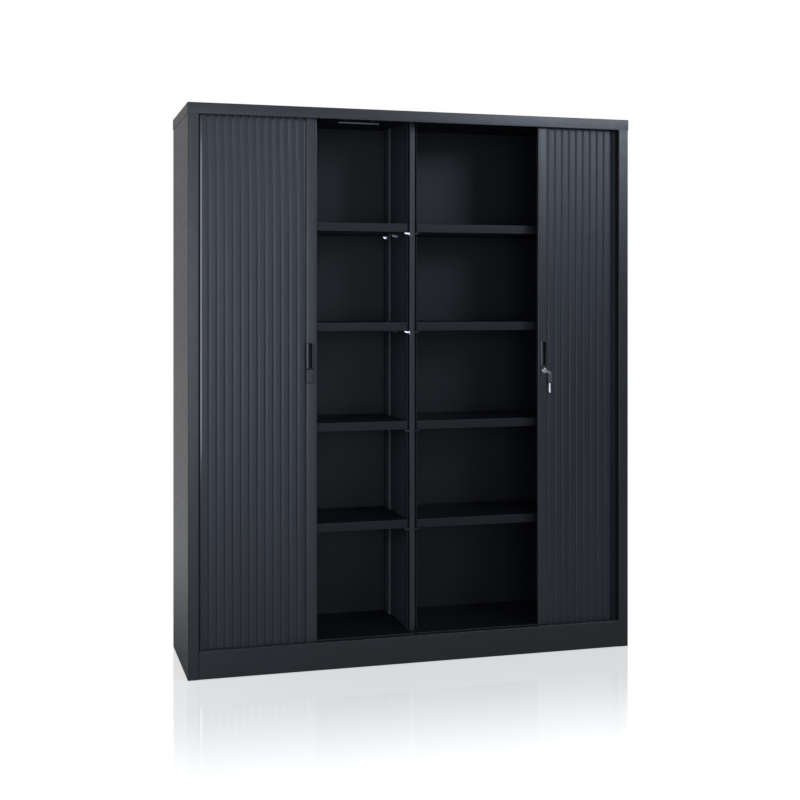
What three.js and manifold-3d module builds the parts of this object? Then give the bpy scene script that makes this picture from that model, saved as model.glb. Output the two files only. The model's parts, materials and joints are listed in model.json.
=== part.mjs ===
// Tambour door cabinet: a steel carcass with two bays of shelves behind two ribbed shutters.
// Each shutter slides sideways in a track that runs round the corner, along the side wall
// and behind the false back. Millimetres, +Z up. The origin is on the floor under the middle
// of the cabinet, and the front faces -Y.

import * as THREE from 'three';
import { mergeVertices } from 'three/addons/utils/BufferGeometryUtils.js';
import Module from 'manifold-3d';

const wasm = await Module();
wasm.setup();

// Overall size, measured over the lid
const cabinetWidth = 1650;
const cabinetDepth = 470;
const cabinetHeight = 1980;

// Sheet steel and the gaps between pieces
const sheet = 1.2;
const foldRadius = 2.4;
const seatGap = 0.3;
const cutOverrun = 3;
const foldSteps = 3;

// Lid, stiles and base
const lidSkirt = 38;
const stileWidth = 37.5;
const stileReturn = 20;
const rearFlange = 25;
const baseHeight = 98;
const baseRailFoot = 25;
const deckSheet = 1.5;
const deckFlange = 24;

// Shutter route: the middle line of the track, from the outside of the cabinet
const frontInset = 32;
const sideInset = 24;
const rearInset = 24;
const cornerRadius = 40;
const cornerSteps = 6;
const rearTrackEnd = 30;

// Tracks
const trackWidth = 18;
const trackHeight = 14;
const trackFloor = 4;
const grooveWidth = 10;
const topTrackRise = 4;
const centreStopLength = 12;

// Shutters and their leading bars
const slatPitch = 28.3;
const slatCount = 29;
const slatThickness = 8;
const slatGrooveDepth = 2.4;
const slatEdge = 2.6;
const slatFootGap = 0.5;
const slatHeadGap = 3;
const leftOpening = 367.5;
const rightOpening = 469;
const barWidth = 40.5;
const barDepth = 18;
const barWall = 1.6;
const barTrackGap = 1;
const shoeLength = 20;
const shoeThickness = 8;
const shoePlug = 15;

// Bay linings
const bayInset = 62;
const rearBayInset = 60;
const baySetback = 80;
const linerReturn = 15;
const partitionThickness = 20;
const partitionTail = 13;

// Shelves
const shelfCount = 4;
const bottomBayExtra = 44;
const shelfLip = 33;
const shelfReturn = 28;
const shelfSetback = 3;
const shelfRearGap = 8;

// Slotted uprights and their shelf clips
const uprightHeight = 8;
const frontUprightWidth = 30;
const rearUprightWidth = 60;
const frontUprightInset = 5;
const rearUprightInset = 5;
const slotsPerShelf = 4;
const slotWidth = 4;
const slotLength = 14;
const clipReach = 15;
const clipWidth = 10;
const clipHeight = 12;
const clipThickness = 2;

// Handle recess, lock plate and lock
const handleHeight = 1104.5;
const plateWidth = 30;
const plateInset = 9.5;
const plateThickness = 1.5;
const plateCorner = 3;
const cupPlateHeight = 93.7;
const lockPlateHeight = 49;
const recessWidth = 13;
const recessHeight = 86;
const recessCorner = 3;
const cupWall = 1.5;
const cupDepth = 20;
const windowWidth = 24;
const lockDrop = 17;
const lockBodyHeight = 27;
const lockBodyDepth = 20;
const bezelRadius = 9.5;
const bezelHeight = 2.7;
const cylinderRadius = 6;
const cylinderLength = 28;
const cylinderProud = 3.2;
const boreClearance = 0.3;
const keywayWidth = 9;
const keywayHeight = 2.6;
const keywayDepth = 20;

// Hook bolt
const hookDrop = 22;
const hookOffset = 4;
const hookEngagement = 12;
const hookHalfWidth = 4;
const hookLip = 10;
const hookLipWidth = 6;
const hookThickness = 4;
const hookPinRadius = 2.5;
const hookSlotWidth = 6;
const hookSlotAbove = 7;
const hookSlotRelief = 1.5;
const hookPlate = 3;

// Keys: the bow of the key in the lock is folded flat, and a spare hangs from it by a ring
const bladeWidth = 8;
const bladeThickness = 2;
const bladeLength = 17;
const shankLength = 4.5;
const foldPinRadius = 1.25;
const foldPinLength = 10;
const knuckleRadius = 3;
const knuckleLength = 3.4;
const bowThickness = 3;
const bowReach = 20.5;
const bowEndRadius = 4.5;
const bowHoleRadius = 2.2;
const bowAngleDegrees = 22;
const ringRadius = 5;
const ringWire = 0.7;
const ringSeat = 0.4;
const spareHeadRadius = 9.5;
const spareHeadDrop = 3;
const spareNeckWidth = 12;
const spareNeckLength = 23;
const spareBladeWidth = 8;
const spareBladeLength = 37;

// Levelling feet, inside the base
const footRadius = 18;
const footThickness = 8;
const footStemRadius = 5;
const footStemTop = 80;
const footBossRadius = 10;
const footBossLength = 45;
const footEdgeInset = 85;
const footFrontInset = 75;

// Rod that hangs under the top of the left bay
const stayRadius = 4.5;
const stayLength = 150;
const stayCentreInset = 122;
const stayDepthInset = 100;
const stayDrop = 17;
const stayPostRadius = 3;
const stayPostInset = 25;

// Roundness of small turned pieces
const roundSteps = 24;
const smallRoundSteps = 12;

// Places worked out from the sizes above
const foldGap = seatGap + (foldRadius - sheet) * (1 - Math.SQRT1_2);
const halfWidth = cabinetWidth / 2;
const frontY = -cabinetDepth / 2;
const backY = cabinetDepth / 2;
const skinX = halfWidth - sheet - seatGap;
const skinFrontY = frontY + sheet + seatGap;
const skinBackY = backY - sheet - seatGap;
const skinTop = cabinetHeight - sheet - seatGap;
const stileEdgeX = skinX - stileWidth;
const fasciaBottom = cabinetHeight - lidSkirt;

const routeFrontY = frontY + frontInset;
const routeSideX = halfWidth - sideInset;
const routeBackY = backY - rearInset;
const frontRun = routeSideX - cornerRadius;
const cornerRun = cornerRadius * Math.PI / 2;
const sideRun = routeBackY - routeFrontY - 2 * cornerRadius;
const routeLength = frontRun + cornerRun + sideRun + cornerRun + frontRun - rearTrackEnd;

const bottomTrackBase = baseHeight - trackHeight;
const topTrackBase = fasciaBottom + topTrackRise;
const topTrackTop = topTrackBase + trackHeight;
const baseDeckTop = bottomTrackBase - seatGap;
const topDeckBottom = topTrackTop + seatGap;
const topDeckTop = topDeckBottom + deckSheet;
const deckSideX = skinX - sheet - foldGap;
const backPanelOuterY = skinBackY - sheet - foldGap;
const backPanelInnerY = backPanelOuterY - sheet;

const linerX = halfWidth - bayInset;
const bayFrontY = frontY + baySetback;
const falseBackY = backY - rearBayInset;
const partitionHalf = partitionThickness / 2;
const floorFrontY = routeFrontY + trackWidth / 2 + seatGap;
const liningBase = baseDeckTop + seatGap;
const liningTop = topDeckBottom - seatGap;

const shelfPitch = (fasciaBottom - baseHeight - bottomBayExtra) / (shelfCount + 1);
const shelfLevels = Array.from({ length: shelfCount }, (_, i) => (
  baseHeight + bottomBayExtra + shelfPitch * (i + 1)
));
const shelfFrontY = bayFrontY + shelfSetback;
const shelfBackY = falseBackY - shelfRearGap;
const shelfInnerX = partitionHalf + uprightHeight + 2 * seatGap;
const shelfOuterX = linerX - uprightHeight - 2 * seatGap;
const frontUprightY = bayFrontY + frontUprightInset + frontUprightWidth / 2;
const rearUprightY = shelfBackY - rearUprightInset - rearUprightWidth / 2;

const curtainBottom = bottomTrackBase + trackFloor + slatFootGap;
const curtainTop = topTrackTop - trackFloor - slatHeadGap;
const barBottom = baseHeight + barTrackGap;
const barTop = topTrackBase - barTrackGap;
const barInnerRadius = foldRadius - barWall / 2;
const barFrontY = routeFrontY - barDepth / 2;
const barBackY = routeFrontY + barDepth / 2;
const plateBackY = barFrontY - seatGap;
const plateFrontY = plateBackY - plateThickness;
const cupPlateBottom = handleHeight - cupPlateHeight / 2;
const lockPlateTop = cupPlateBottom - seatGap;
const lockPlateBottom = lockPlateTop - lockPlateHeight;
const lockZ = lockPlateTop - lockDrop;
const lockBodyTop = lockPlateTop - cupWall;
const lockBodyBottom = lockBodyTop - lockBodyHeight;
const cupBodyTop = handleHeight + recessHeight / 2 + cupWall;
const windowBottom = lockBodyBottom - seatGap;
const windowTop = cupBodyTop + seatGap;
const bodyWidth = windowWidth - 2 * seatGap;
const plateCentre = plateInset + plateWidth / 2;
const lockX = rightOpening + plateCentre;
const hookX = lockX + hookOffset;
const hookZ = lockZ - hookDrop;
const hookReach = hookX - rightOpening + hookEngagement;
const hookSweep = Math.hypot(hookReach, hookLip);
const hookSlotBelow = Math.sqrt(hookSweep ** 2 - (hookX - rightOpening) ** 2) + hookSlotRelief;

const bowAngle = THREE.MathUtils.degToRad(bowAngleDegrees);
const keyPinY = plateFrontY - cylinderProud - shankLength;
const bowHoleX = lockX + bowReach * Math.cos(bowAngle);
const bowHoleZ = lockZ - bowReach * Math.sin(bowAngle);
const ringDrop = bowHoleRadius - ringWire - ringSeat;
const ringZ = bowHoleZ - ringDrop - ringRadius;
const spareHoleZ = ringZ - ringRadius - ringDrop;

// Finishes
const finishes = {
  shell: { color: 0x2b2d31, roughness: 0.5, metalness: 0.25 },
  inner: { color: 0x1d1f22, roughness: 0.6, metalness: 0.2 },
  shutter: { color: 0x24272c, roughness: 0.45, metalness: 0.05 },
  plastic: { color: 0x141517, roughness: 0.5, metalness: 0 },
  track: { color: 0x1a1b1d, roughness: 0.6, metalness: 0 },
  nickel: { color: 0xc9c7c0, roughness: 0.25, metalness: 1 },
  zinc: { color: 0xa9abad, roughness: 0.4, metalness: 1 },
};

const cabinet = new THREE.Group();

function addPart(name, geometry, finish) {
  const material = new THREE.MeshStandardMaterial({ name: finish, ...finishes[finish] });
  const mesh = new THREE.Mesh(geometry, material);
  mesh.name = name;
  cabinet.add(mesh);
  return mesh;
}

// Turns a closed geometry into a solid that can be cut and joined
function solidOf(geometry) {
  const bare = geometry.clone();
  bare.deleteAttribute('normal');
  bare.deleteAttribute('uv');
  const merged = mergeVertices(bare);
  return new wasm.Manifold(new wasm.Mesh({
    numProp: 3,
    vertProperties: new Float32Array(merged.attributes.position.array),
    triVerts: new Uint32Array(merged.index.array),
  }));
}

function geometryOf(solid) {
  const mesh = solid.getMesh();
  const geometry = new THREE.BufferGeometry();
  geometry.setAttribute('position', new THREE.BufferAttribute(new Float32Array(mesh.vertProperties), 3));
  geometry.setIndex(new THREE.BufferAttribute(new Uint32Array(mesh.triVerts), 1));
  geometry.computeVertexNormals();
  return geometry;
}

function joined(geometries) {
  return geometries.map(solidOf).reduce((whole, solid) => whole.add(solid));
}

function cut(geometry, cutters) {
  const cutAway = (whole, cutter) => whole.subtract(solidOf(cutter));
  return geometryOf(cutters.reduce(cutAway, solidOf(geometry)));
}

// A box given by its lowest and highest corners
function box(low, high) {
  const size = high.map((value, axis) => value - low[axis]);
  const middle = high.map((value, axis) => (value + low[axis]) / 2);
  return new THREE.BoxGeometry(...size).translate(...middle);
}

// A round bar along X, Y or Z between two places on its axis
function rod(axis, radius, from, to, centre, steps = roundSteps) {
  const geometry = new THREE.CylinderGeometry(radius, radius, to - from, steps);
  if (axis === 'x') geometry.rotateZ(Math.PI / 2);
  if (axis === 'z') geometry.rotateX(Math.PI / 2);
  const middle = (from + to) / 2;
  if (axis === 'x') return geometry.translate(middle, centre[0], centre[1]);
  if (axis === 'y') return geometry.translate(centre[0], middle, centre[1]);
  return geometry.translate(centre[0], centre[1], middle);
}

// An outline in plan, extruded upwards
function extrudeUp(shape, bottom, top, curveSegments = foldSteps) {
  const settings = { depth: top - bottom, bevelEnabled: false, curveSegments };
  return new THREE.ExtrudeGeometry(shape, settings).translate(0, 0, bottom);
}

// An outline in Y and Z, extruded along X
function extrudeAcross(shape, from, to, curveSegments = foldSteps) {
  const settings = { depth: to - from, bevelEnabled: false, curveSegments };
  const geometry = new THREE.ExtrudeGeometry(shape, settings);
  const turn = new THREE.Matrix4().makeBasis(
    new THREE.Vector3(0, 1, 0),
    new THREE.Vector3(0, 0, 1),
    new THREE.Vector3(1, 0, 0),
  );
  return geometry.applyMatrix4(turn).translate(from, 0, 0);
}

// An outline in X and Z, extruded from its front face backwards
function extrudeBack(shape, front, back, curveSegments = foldSteps) {
  const settings = { depth: back - front, bevelEnabled: false, curveSegments };
  const geometry = new THREE.ExtrudeGeometry(shape, settings);
  const turn = new THREE.Matrix4().makeBasis(
    new THREE.Vector3(1, 0, 0),
    new THREE.Vector3(0, 0, 1),
    new THREE.Vector3(0, -1, 0),
  );
  return geometry.applyMatrix4(turn).translate(0, back, 0);
}

function outline(points) {
  return new THREE.Shape(points.map(([a, b]) => new THREE.Vector2(a, b)));
}

function roundedRectangle(left, bottom, right, top, radius) {
  const shape = new THREE.Shape();
  shape.moveTo(left + radius, bottom);
  shape.lineTo(right - radius, bottom);
  shape.absarc(right - radius, bottom + radius, radius, -Math.PI / 2, 0);
  shape.lineTo(right, top - radius);
  shape.absarc(right - radius, top - radius, radius, 0, Math.PI / 2);
  shape.lineTo(left + radius, top);
  shape.absarc(left + radius, top - radius, radius, Math.PI / 2, Math.PI);
  shape.lineTo(left, bottom + radius);
  shape.absarc(left + radius, bottom + radius, radius, Math.PI, Math.PI * 3 / 2);
  return shape;
}

// Section of a folded sheet. The corners lie on its outer face, and the sheet lies on the
// side named by hand: 1 to the left of the way along the corners, -1 to the right.
function foldedSheet(corners, hand) {
  const places = corners.map(([a, b]) => new THREE.Vector2(a, b));
  const outer = [];
  const inner = [];
  const addPair = (place, normal) => {
    outer.push(place.clone());
    inner.unshift(place.clone().addScaledVector(normal, sheet));
  };
  const leftOf = (way) => new THREE.Vector2(-way.y, way.x).multiplyScalar(hand);
  places.forEach((corner, i) => {
    const before = i > 0 ? corner.clone().sub(places[i - 1]).normalize() : null;
    const after = i < places.length - 1 ? places[i + 1].clone().sub(corner).normalize() : null;
    if (!before || !after) {
      addPair(corner, leftOf(before ?? after));
      return;
    }
    const turn = Math.sign(before.cross(after)) * hand;
    const radius = turn > 0 ? foldRadius : foldRadius - sheet;
    const start = corner.clone().addScaledVector(before, -radius);
    const centre = start.clone().addScaledVector(leftOf(before), turn * radius);
    const angle = before.clone().cross(after) > 0 ? Math.PI / 2 : -Math.PI / 2;
    for (let step = 0; step <= foldSteps; step += 1) {
      const place = start.clone().rotateAround(centre, angle * step / foldSteps);
      const way = before.clone().rotateAround(new THREE.Vector2(), angle * step / foldSteps);
      addPair(place, leftOf(way));
    }
  });
  return new THREE.Shape([...outer, ...inner]);
}

// A place on a shutter's route. Distance runs from the middle of the cabinet outwards, round
// the front corner, back along the side, round the rear corner and along the back. The offset
// is square to the route and positive towards the outside of the cabinet.
function routePlace(side, distance, offset) {
  const radius = cornerRadius + offset;
  const cornerX = routeSideX - cornerRadius;
  let run = distance;
  if (run <= frontRun) return [side * run, routeFrontY - offset];
  run -= frontRun;
  if (run <= cornerRun) {
    const angle = run / cornerRadius;
    const x = cornerX + radius * Math.sin(angle);
    return [side * x, routeFrontY + cornerRadius - radius * Math.cos(angle)];
  }
  run -= cornerRun;
  if (run <= sideRun) return [side * (routeSideX + offset), routeFrontY + cornerRadius + run];
  run -= sideRun;
  if (run <= cornerRun) {
    const angle = run / cornerRadius;
    const x = cornerX + radius * Math.cos(angle);
    return [side * x, routeBackY - cornerRadius + radius * Math.sin(angle)];
  }
  run -= cornerRun;
  return [side * (cornerX - run), routeBackY + offset];
}

// Distances at which a band along the route needs a point
function routeStations(from, to) {
  const stations = [from];
  [frontRun, frontRun + cornerRun + sideRun].forEach((bendStart) => {
    for (let step = 0; step <= cornerSteps; step += 1) {
      stations.push(bendStart + cornerRun * step / cornerSteps);
    }
  });
  return [...stations.filter((place) => place >= from && place < to), to];
}

function routeBand(side, from, to, halfBand) {
  const stations = routeStations(from, to);
  const outside = stations.map((place) => routePlace(side, place, halfBand));
  const inside = stations.map((place) => routePlace(side, place, -halfBand));
  return outline([...outside, ...inside.reverse()]);
}

// Lid: a top sheet with a skirt folded down all round
function buildLid() {
  const shell = box([-halfWidth, frontY, fasciaBottom], [halfWidth, backY, cabinetHeight]);
  const hollow = box(
    [-halfWidth + sheet, frontY + sheet, fasciaBottom - cutOverrun],
    [halfWidth - sheet, backY - sheet, cabinetHeight - sheet],
  );
  addPart('top_cap', cut(shell, [hollow]), 'shell');
}

// Side panel with its stile at the front and a flange at the rear, in one folded sheet
function buildSidePanel(side, word) {
  const section = foldedSheet([
    [side * (skinX - rearFlange), skinBackY],
    [side * skinX, skinBackY],
    [side * skinX, skinFrontY],
    [side * stileEdgeX, skinFrontY],
    [side * stileEdgeX, skinFrontY + stileReturn],
  ], -side);
  addPart(`${word}_side_panel`, extrudeUp(section, 0, skinTop), 'shell');
}

// Half of the back, with a flange folded forwards at the middle seam
function buildBackPanel(side, word) {
  const section = foldedSheet([
    [side * deckSideX, backPanelOuterY],
    [side * seatGap, backPanelOuterY],
    [side * seatGap, backPanelOuterY - linerReturn],
  ], side);
  addPart(`${word}_back_panel`, extrudeUp(section, 0, skinTop), 'shell');
}

// Front rail under the shutters, between the stiles
function buildBaseRail() {
  const lipBackY = routeFrontY - trackWidth / 2 - seatGap;
  const section = foldedSheet([
    [lipBackY, baseHeight],
    [skinFrontY, baseHeight],
    [skinFrontY, 0],
    [skinFrontY + baseRailFoot, 0],
  ], 1);
  const end = stileEdgeX - seatGap;
  addPart('base_rail', extrudeAcross(section, -end, end), 'shell');
}

function footPlaces() {
  const x = halfWidth - footEdgeInset;
  const y = cabinetDepth / 2 - footFrontInset;
  return [
    ['front_left_foot', -x, -y],
    ['front_right_foot', x, -y],
    ['rear_left_foot', -x, y],
    ['rear_right_foot', x, y],
  ];
}

// Notches in a deck round the stile returns and the flanges of the back's middle seam
function deckNotches(low, high) {
  const returns = [-1, 1].map((side) => {
    const near = side * (stileEdgeX - seatGap);
    const far = side * (stileEdgeX + sheet + seatGap);
    return box(
      [Math.min(near, far), skinFrontY, low - cutOverrun],
      [Math.max(near, far), skinFrontY + stileReturn + seatGap, high + cutOverrun],
    );
  });
  const seamHalf = sheet + 2 * seatGap;
  const seam = box(
    [-seamHalf, backPanelOuterY - linerReturn - seatGap, low - cutOverrun],
    [seamHalf, skinBackY, high + cutOverrun],
  );
  return [...returns, seam];
}

// Decks carry the tracks and the linings. The base deck also holds the bosses of the feet.
function buildDecks() {
  const deckFront = skinFrontY + sheet + foldGap;
  const deckBack = backPanelInnerY - foldGap;
  const baseFront = skinFrontY + baseRailFoot + seatGap;
  const basePlate = box(
    [-deckSideX, deckFront, baseDeckTop - deckSheet],
    [deckSideX, deckBack, baseDeckTop],
  );
  const flangeTop = baseDeckTop - deckSheet / 2;
  const flangeBottom = baseDeckTop - deckFlange;
  const flanges = [baseFront, deckBack - linerReturn - seatGap - deckSheet].map((y) => (
    box([-deckSideX, y, flangeBottom], [deckSideX, y + deckSheet, flangeTop])
  ));
  const bosses = footPlaces().map(([, x, y]) => (
    rod('z', footBossRadius, baseDeckTop - deckSheet - footBossLength, flangeTop, [x, y], smallRoundSteps)
  ));
  const stems = footPlaces().map(([, x, y]) => (
    rod('z', footStemRadius + boreClearance, 0, baseDeckTop + cutOverrun, [x, y], smallRoundSteps)
  ));
  const base = geometryOf(joined([basePlate, ...flanges, ...bosses]));
  const baseNotches = deckNotches(baseDeckTop - deckSheet, baseDeckTop);
  addPart('base_deck', cut(base, [...stems, ...baseNotches]), 'inner');

  const topPlate = box([-deckSideX, deckFront, topDeckBottom], [deckSideX, deckBack, topDeckTop]);
  const lip = box(
    [-deckSideX, deckFront, topDeckTop - deckSheet / 2],
    [deckSideX, deckFront + deckSheet, skinTop - seatGap],
  );
  const top = geometryOf(joined([topPlate, lip]));
  addPart('top_deck', cut(top, deckNotches(topDeckBottom, skinTop)), 'inner');
}

// Floor of both bays: a tray that stands on the base deck
function buildFloor() {
  const end = linerX - seatGap;
  const section = foldedSheet([
    [floorFrontY, liningBase],
    [floorFrontY, baseHeight],
    [falseBackY - seatGap, baseHeight],
    [falseBackY - seatGap, liningBase],
  ], -1);
  addPart('floor_panel', extrudeAcross(section, -end, end), 'inner');
}

// Inner side wall of a bay, with returns that hide the shutter's pocket
function buildLiner(side, word) {
  const section = foldedSheet([
    [side * (linerX + linerReturn), bayFrontY],
    [side * linerX, bayFrontY],
    [side * linerX, falseBackY],
    [side * (linerX + linerReturn), falseBackY],
  ], -side);
  addPart(`${word}_liner`, extrudeUp(section, liningBase, liningTop), 'inner');
}

// Wall behind the shelves, in front of the shutter's rear run
function buildFalseBack(side, word) {
  const outerX = linerX - seatGap;
  const innerX = partitionHalf + seatGap;
  const section = foldedSheet([
    [side * innerX, falseBackY + partitionTail],
    [side * innerX, falseBackY],
    [side * outerX, falseBackY],
    [side * outerX, falseBackY + partitionTail],
  ], side);
  addPart(`${word}_false_back`, extrudeUp(section, liningBase, liningTop), 'inner');
}

// Double-skinned wall between the bays, open at its ends
function buildPartition() {
  const back = falseBackY + partitionTail;
  const section = roundedRectangle(-partitionHalf, bayFrontY, partitionHalf, back, foldRadius);
  section.holes.push(roundedRectangle(
    -partitionHalf + sheet,
    bayFrontY + sheet,
    partitionHalf - sheet,
    back - sheet,
    foldRadius - sheet,
  ));
  addPart('centre_partition', extrudeUp(section, baseHeight + seatGap, liningTop), 'inner');
}

// Shelf: a tray with deep lips front and rear and returns that rest on the clips
function buildShelf(side, word, index) {
  const section = foldedSheet([
    [shelfFrontY + shelfReturn, -shelfLip],
    [shelfFrontY, -shelfLip],
    [shelfFrontY, 0],
    [shelfBackY, 0],
    [shelfBackY, -shelfLip],
    [shelfBackY - shelfReturn, -shelfLip],
  ], -1);
  const length = shelfOuterX - shelfInnerX;
  const tray = extrudeAcross(section, -length / 2, length / 2);
  const mesh = addPart(`${word}_shelf_${index + 1}`, tray, 'inner');
  mesh.position.set(side * (shelfInnerX + shelfOuterX) / 2, 0, shelfLevels[index]);
}

// Slotted upright, drawn with its back on X = 0 and its face towards +X, with a clip
// for each shelf
function uprightGeometry(width) {
  const half = width / 2;
  const channel = outline([
    [0, -half],
    [uprightHeight, -half],
    [uprightHeight, half],
    [0, half],
    [0, half - sheet],
    [uprightHeight - sheet, half - sheet],
    [uprightHeight - sheet, -half + sheet],
    [0, -half + sheet],
  ]);
  const bottom = baseHeight + seatGap;
  const clips = shelfLevels.map((level) => {
    const top = level - shelfLip - seatGap;
    const arm = box(
      [uprightHeight - sheet / 2, -clipWidth / 2, top - clipThickness],
      [uprightHeight + clipReach, clipWidth / 2, top],
    );
    const leg = box(
      [uprightHeight - sheet / 2, -clipWidth / 2, top - clipHeight],
      [uprightHeight + clipThickness, clipWidth / 2, top - clipThickness / 2],
    );
    return [arm, leg];
  }).flat();
  const pitch = shelfPitch / slotsPerShelf;
  const firstSlot = shelfLevels[0] - shelfLip - clipHeight - pitch / 2;
  const slotTotal = Math.floor((liningTop - slotLength - firstSlot) / pitch);
  const lowest = -Math.floor((firstSlot - bottom - slotLength) / pitch);
  const slots = [];
  for (let i = lowest; i < slotTotal; i += 1) {
    const middle = firstSlot + pitch * i;
    slots.push(box(
      [uprightHeight - sheet - cutOverrun, -slotWidth / 2, middle - slotLength / 2],
      [uprightHeight + cutOverrun, slotWidth / 2, middle + slotLength / 2],
    ));
  }
  const whole = joined([extrudeUp(channel, bottom, liningTop), ...clips]);
  return geometryOf(slots.reduce((solid, slot) => solid.subtract(solidOf(slot)), whole));
}

function buildUprights() {
  [['front', frontUprightWidth, frontUprightY], ['rear', rearUprightWidth, rearUprightY]]
    .forEach(([row, width, y]) => {
      const geometry = uprightGeometry(width);
      [
        [`left_bay_outer_${row}_upright`, -linerX + seatGap, 0],
        [`left_bay_inner_${row}_upright`, -partitionHalf - seatGap, Math.PI],
        [`right_bay_inner_${row}_upright`, partitionHalf + seatGap, 0],
        [`right_bay_outer_${row}_upright`, linerX - seatGap, Math.PI],
      ].forEach(([name, x, turn]) => {
        const mesh = addPart(name, geometry.clone(), 'inner');
        mesh.position.set(x, y, 0);
        mesh.rotation.z = turn;
      });
    });
}

// Tracks: a grooved channel along the whole route, one at the bottom and one at the top
function buildTracks(side, word) {
  const start = centreStopLength / 2 + seatGap;
  const channel = routeBand(side, start, routeLength, trackWidth / 2);
  const groove = routeBand(side, start - cutOverrun, routeLength - trackFloor, grooveWidth / 2);
  const bottomGroove = extrudeUp(groove, bottomTrackBase + trackFloor, baseHeight + cutOverrun);
  const topGroove = extrudeUp(groove, topTrackBase - cutOverrun, topTrackTop - trackFloor);
  const bottom = extrudeUp(channel, bottomTrackBase, baseHeight);
  const top = extrudeUp(channel, topTrackBase, topTrackTop);
  addPart(`${word}_bottom_track`, cut(bottom, [bottomGroove]), 'track');
  addPart(`${word}_top_track`, cut(top, [topGroove]), 'track');
}

// Stops at the middle, where the two shutters meet
function buildCentreStops() {
  const half = centreStopLength / 2;
  const ends = [['bottom', bottomTrackBase, baseHeight], ['top', topTrackBase, topTrackTop]];
  ends.forEach(([word, low, high]) => {
    const block = box(
      [-half, routeFrontY - trackWidth / 2, low],
      [half, routeFrontY + trackWidth / 2, high],
    );
    addPart(`${word}_centre_stop`, block, 'plastic');
  });
}

// Shutter: ribbed slats hooked edge to edge, which bend round the corners of the route
function buildCurtain(side, word, opening) {
  const start = opening + barWidth + seatGap;
  const half = slatThickness / 2;
  const front = [];
  const rear = [];
  for (let slat = 0; slat < slatCount; slat += 1) {
    const from = start + slat * slatPitch;
    const to = from + slatPitch;
    front.push([from, half - slatGrooveDepth], [from + slatEdge, half], [to - slatEdge, half]);
    rear.push([from, -half + slatGrooveDepth / 2], [from + slatPitch / 2, -half]);
  }
  const end = start + slatCount * slatPitch;
  front.push([end, half - slatGrooveDepth]);
  rear.push([end, -half + slatGrooveDepth / 2]);
  const places = [...front, ...rear.reverse()];
  const section = outline(places.map(([place, offset]) => routePlace(side, place, offset)));
  addPart(`${word}_curtain`, extrudeUp(section, curtainBottom, curtainTop), 'shutter');
}

// Leading bar: a tube with a window for the handle and a slot for the hook bolt
function buildLeadingBar(side, word, opening) {
  const inner = opening;
  const outer = opening + barWidth;
  const [left, right] = side < 0 ? [-outer, -inner] : [inner, outer];
  const centre = side * (opening + plateCentre);
  const section = roundedRectangle(left, barFrontY, right, barBackY, foldRadius);
  section.holes.push(roundedRectangle(
    left + barWall,
    barFrontY + barWall,
    right - barWall,
    barBackY - barWall,
    barInnerRadius,
  ));
  const tube = extrudeUp(section, barBottom, barTop);
  const handleWindow = box(
    [centre - windowWidth / 2, barFrontY - cutOverrun, windowBottom],
    [centre + windowWidth / 2, barBackY + cutOverrun, windowTop],
  );
  const hookMouth = box(
    [side * inner - barWall - seatGap, routeFrontY - hookSlotWidth / 2, hookZ - hookSlotBelow],
    [side * inner + barWall + seatGap, routeFrontY + hookSlotWidth / 2, hookZ + hookSlotAbove],
  );
  addPart(`${word}_leading_bar`, cut(tube, [handleWindow, hookMouth]), 'shutter');
}

// Guide shoes: plugs in the ends of the bar, with a tongue that runs in the groove
function buildShoes(side, word, opening) {
  const centre = side * (opening + barWidth / 2);
  const plugGap = seatGap + barInnerRadius * (1 - Math.SQRT1_2);
  const plugX = barWidth / 2 - barWall - plugGap;
  const plugY = barDepth / 2 - barWall - plugGap;
  const tongueX = shoeLength / 2;
  const tongueY = shoeThickness / 2;
  const block = (halfX, halfY, low, high) => box(
    [centre - halfX, routeFrontY - halfY, low],
    [centre + halfX, routeFrontY + halfY, high],
  );
  const foot = joined([
    block(tongueX, tongueY, curtainBottom, barBottom + shoePlug),
    block(plugX, plugY, barBottom, barBottom + shoePlug),
  ]);
  const head = joined([
    block(tongueX, tongueY, barTop - shoePlug, curtainTop),
    block(plugX, plugY, barTop - shoePlug, barTop),
  ]);
  addPart(`${word}_bottom_shoe`, geometryOf(foot), 'plastic');
  addPart(`${word}_top_shoe`, geometryOf(head), 'plastic');
}

// Handle: a plate with a finger recess behind it
function buildHandleCup(side, word, opening) {
  const centre = side * (opening + plateCentre);
  const plate = extrudeBack(
    roundedRectangle(
      centre - plateWidth / 2,
      cupPlateBottom,
      centre + plateWidth / 2,
      cupPlateBottom + cupPlateHeight,
      plateCorner,
    ),
    plateFrontY,
    plateBackY,
  );
  const bodyHalf = recessHeight / 2 + cupWall;
  const body = box(
    [centre - bodyWidth / 2, plateBackY - plateThickness / 2, handleHeight - bodyHalf],
    [centre + bodyWidth / 2, plateFrontY + cupDepth, handleHeight + bodyHalf],
  );
  const recess = extrudeBack(
    roundedRectangle(
      centre - recessWidth / 2,
      handleHeight - recessHeight / 2,
      centre + recessWidth / 2,
      handleHeight + recessHeight / 2,
      recessCorner,
    ),
    plateFrontY - cutOverrun,
    plateFrontY + cupDepth - cupWall,
  );
  const whole = joined([plate, body]).subtract(solidOf(recess));
  addPart(`${word}_handle_cup`, geometryOf(whole), 'plastic');
}

// Plate below a handle, with the block behind it that fills the window
function lockPlate(centre) {
  const plate = extrudeBack(
    roundedRectangle(
      centre - plateWidth / 2,
      lockPlateBottom,
      centre + plateWidth / 2,
      lockPlateTop,
      plateCorner,
    ),
    plateFrontY,
    plateBackY,
  );
  const body = box(
    [centre - bodyWidth / 2, plateBackY - plateThickness / 2, lockBodyBottom],
    [centre + bodyWidth / 2, plateFrontY + lockBodyDepth, lockBodyTop],
  );
  return [plate, body];
}

function buildKeeper() {
  const centre = -(leftOpening + plateCentre);
  addPart('keeper_block', geometryOf(joined(lockPlate(centre))), 'plastic');
}

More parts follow.
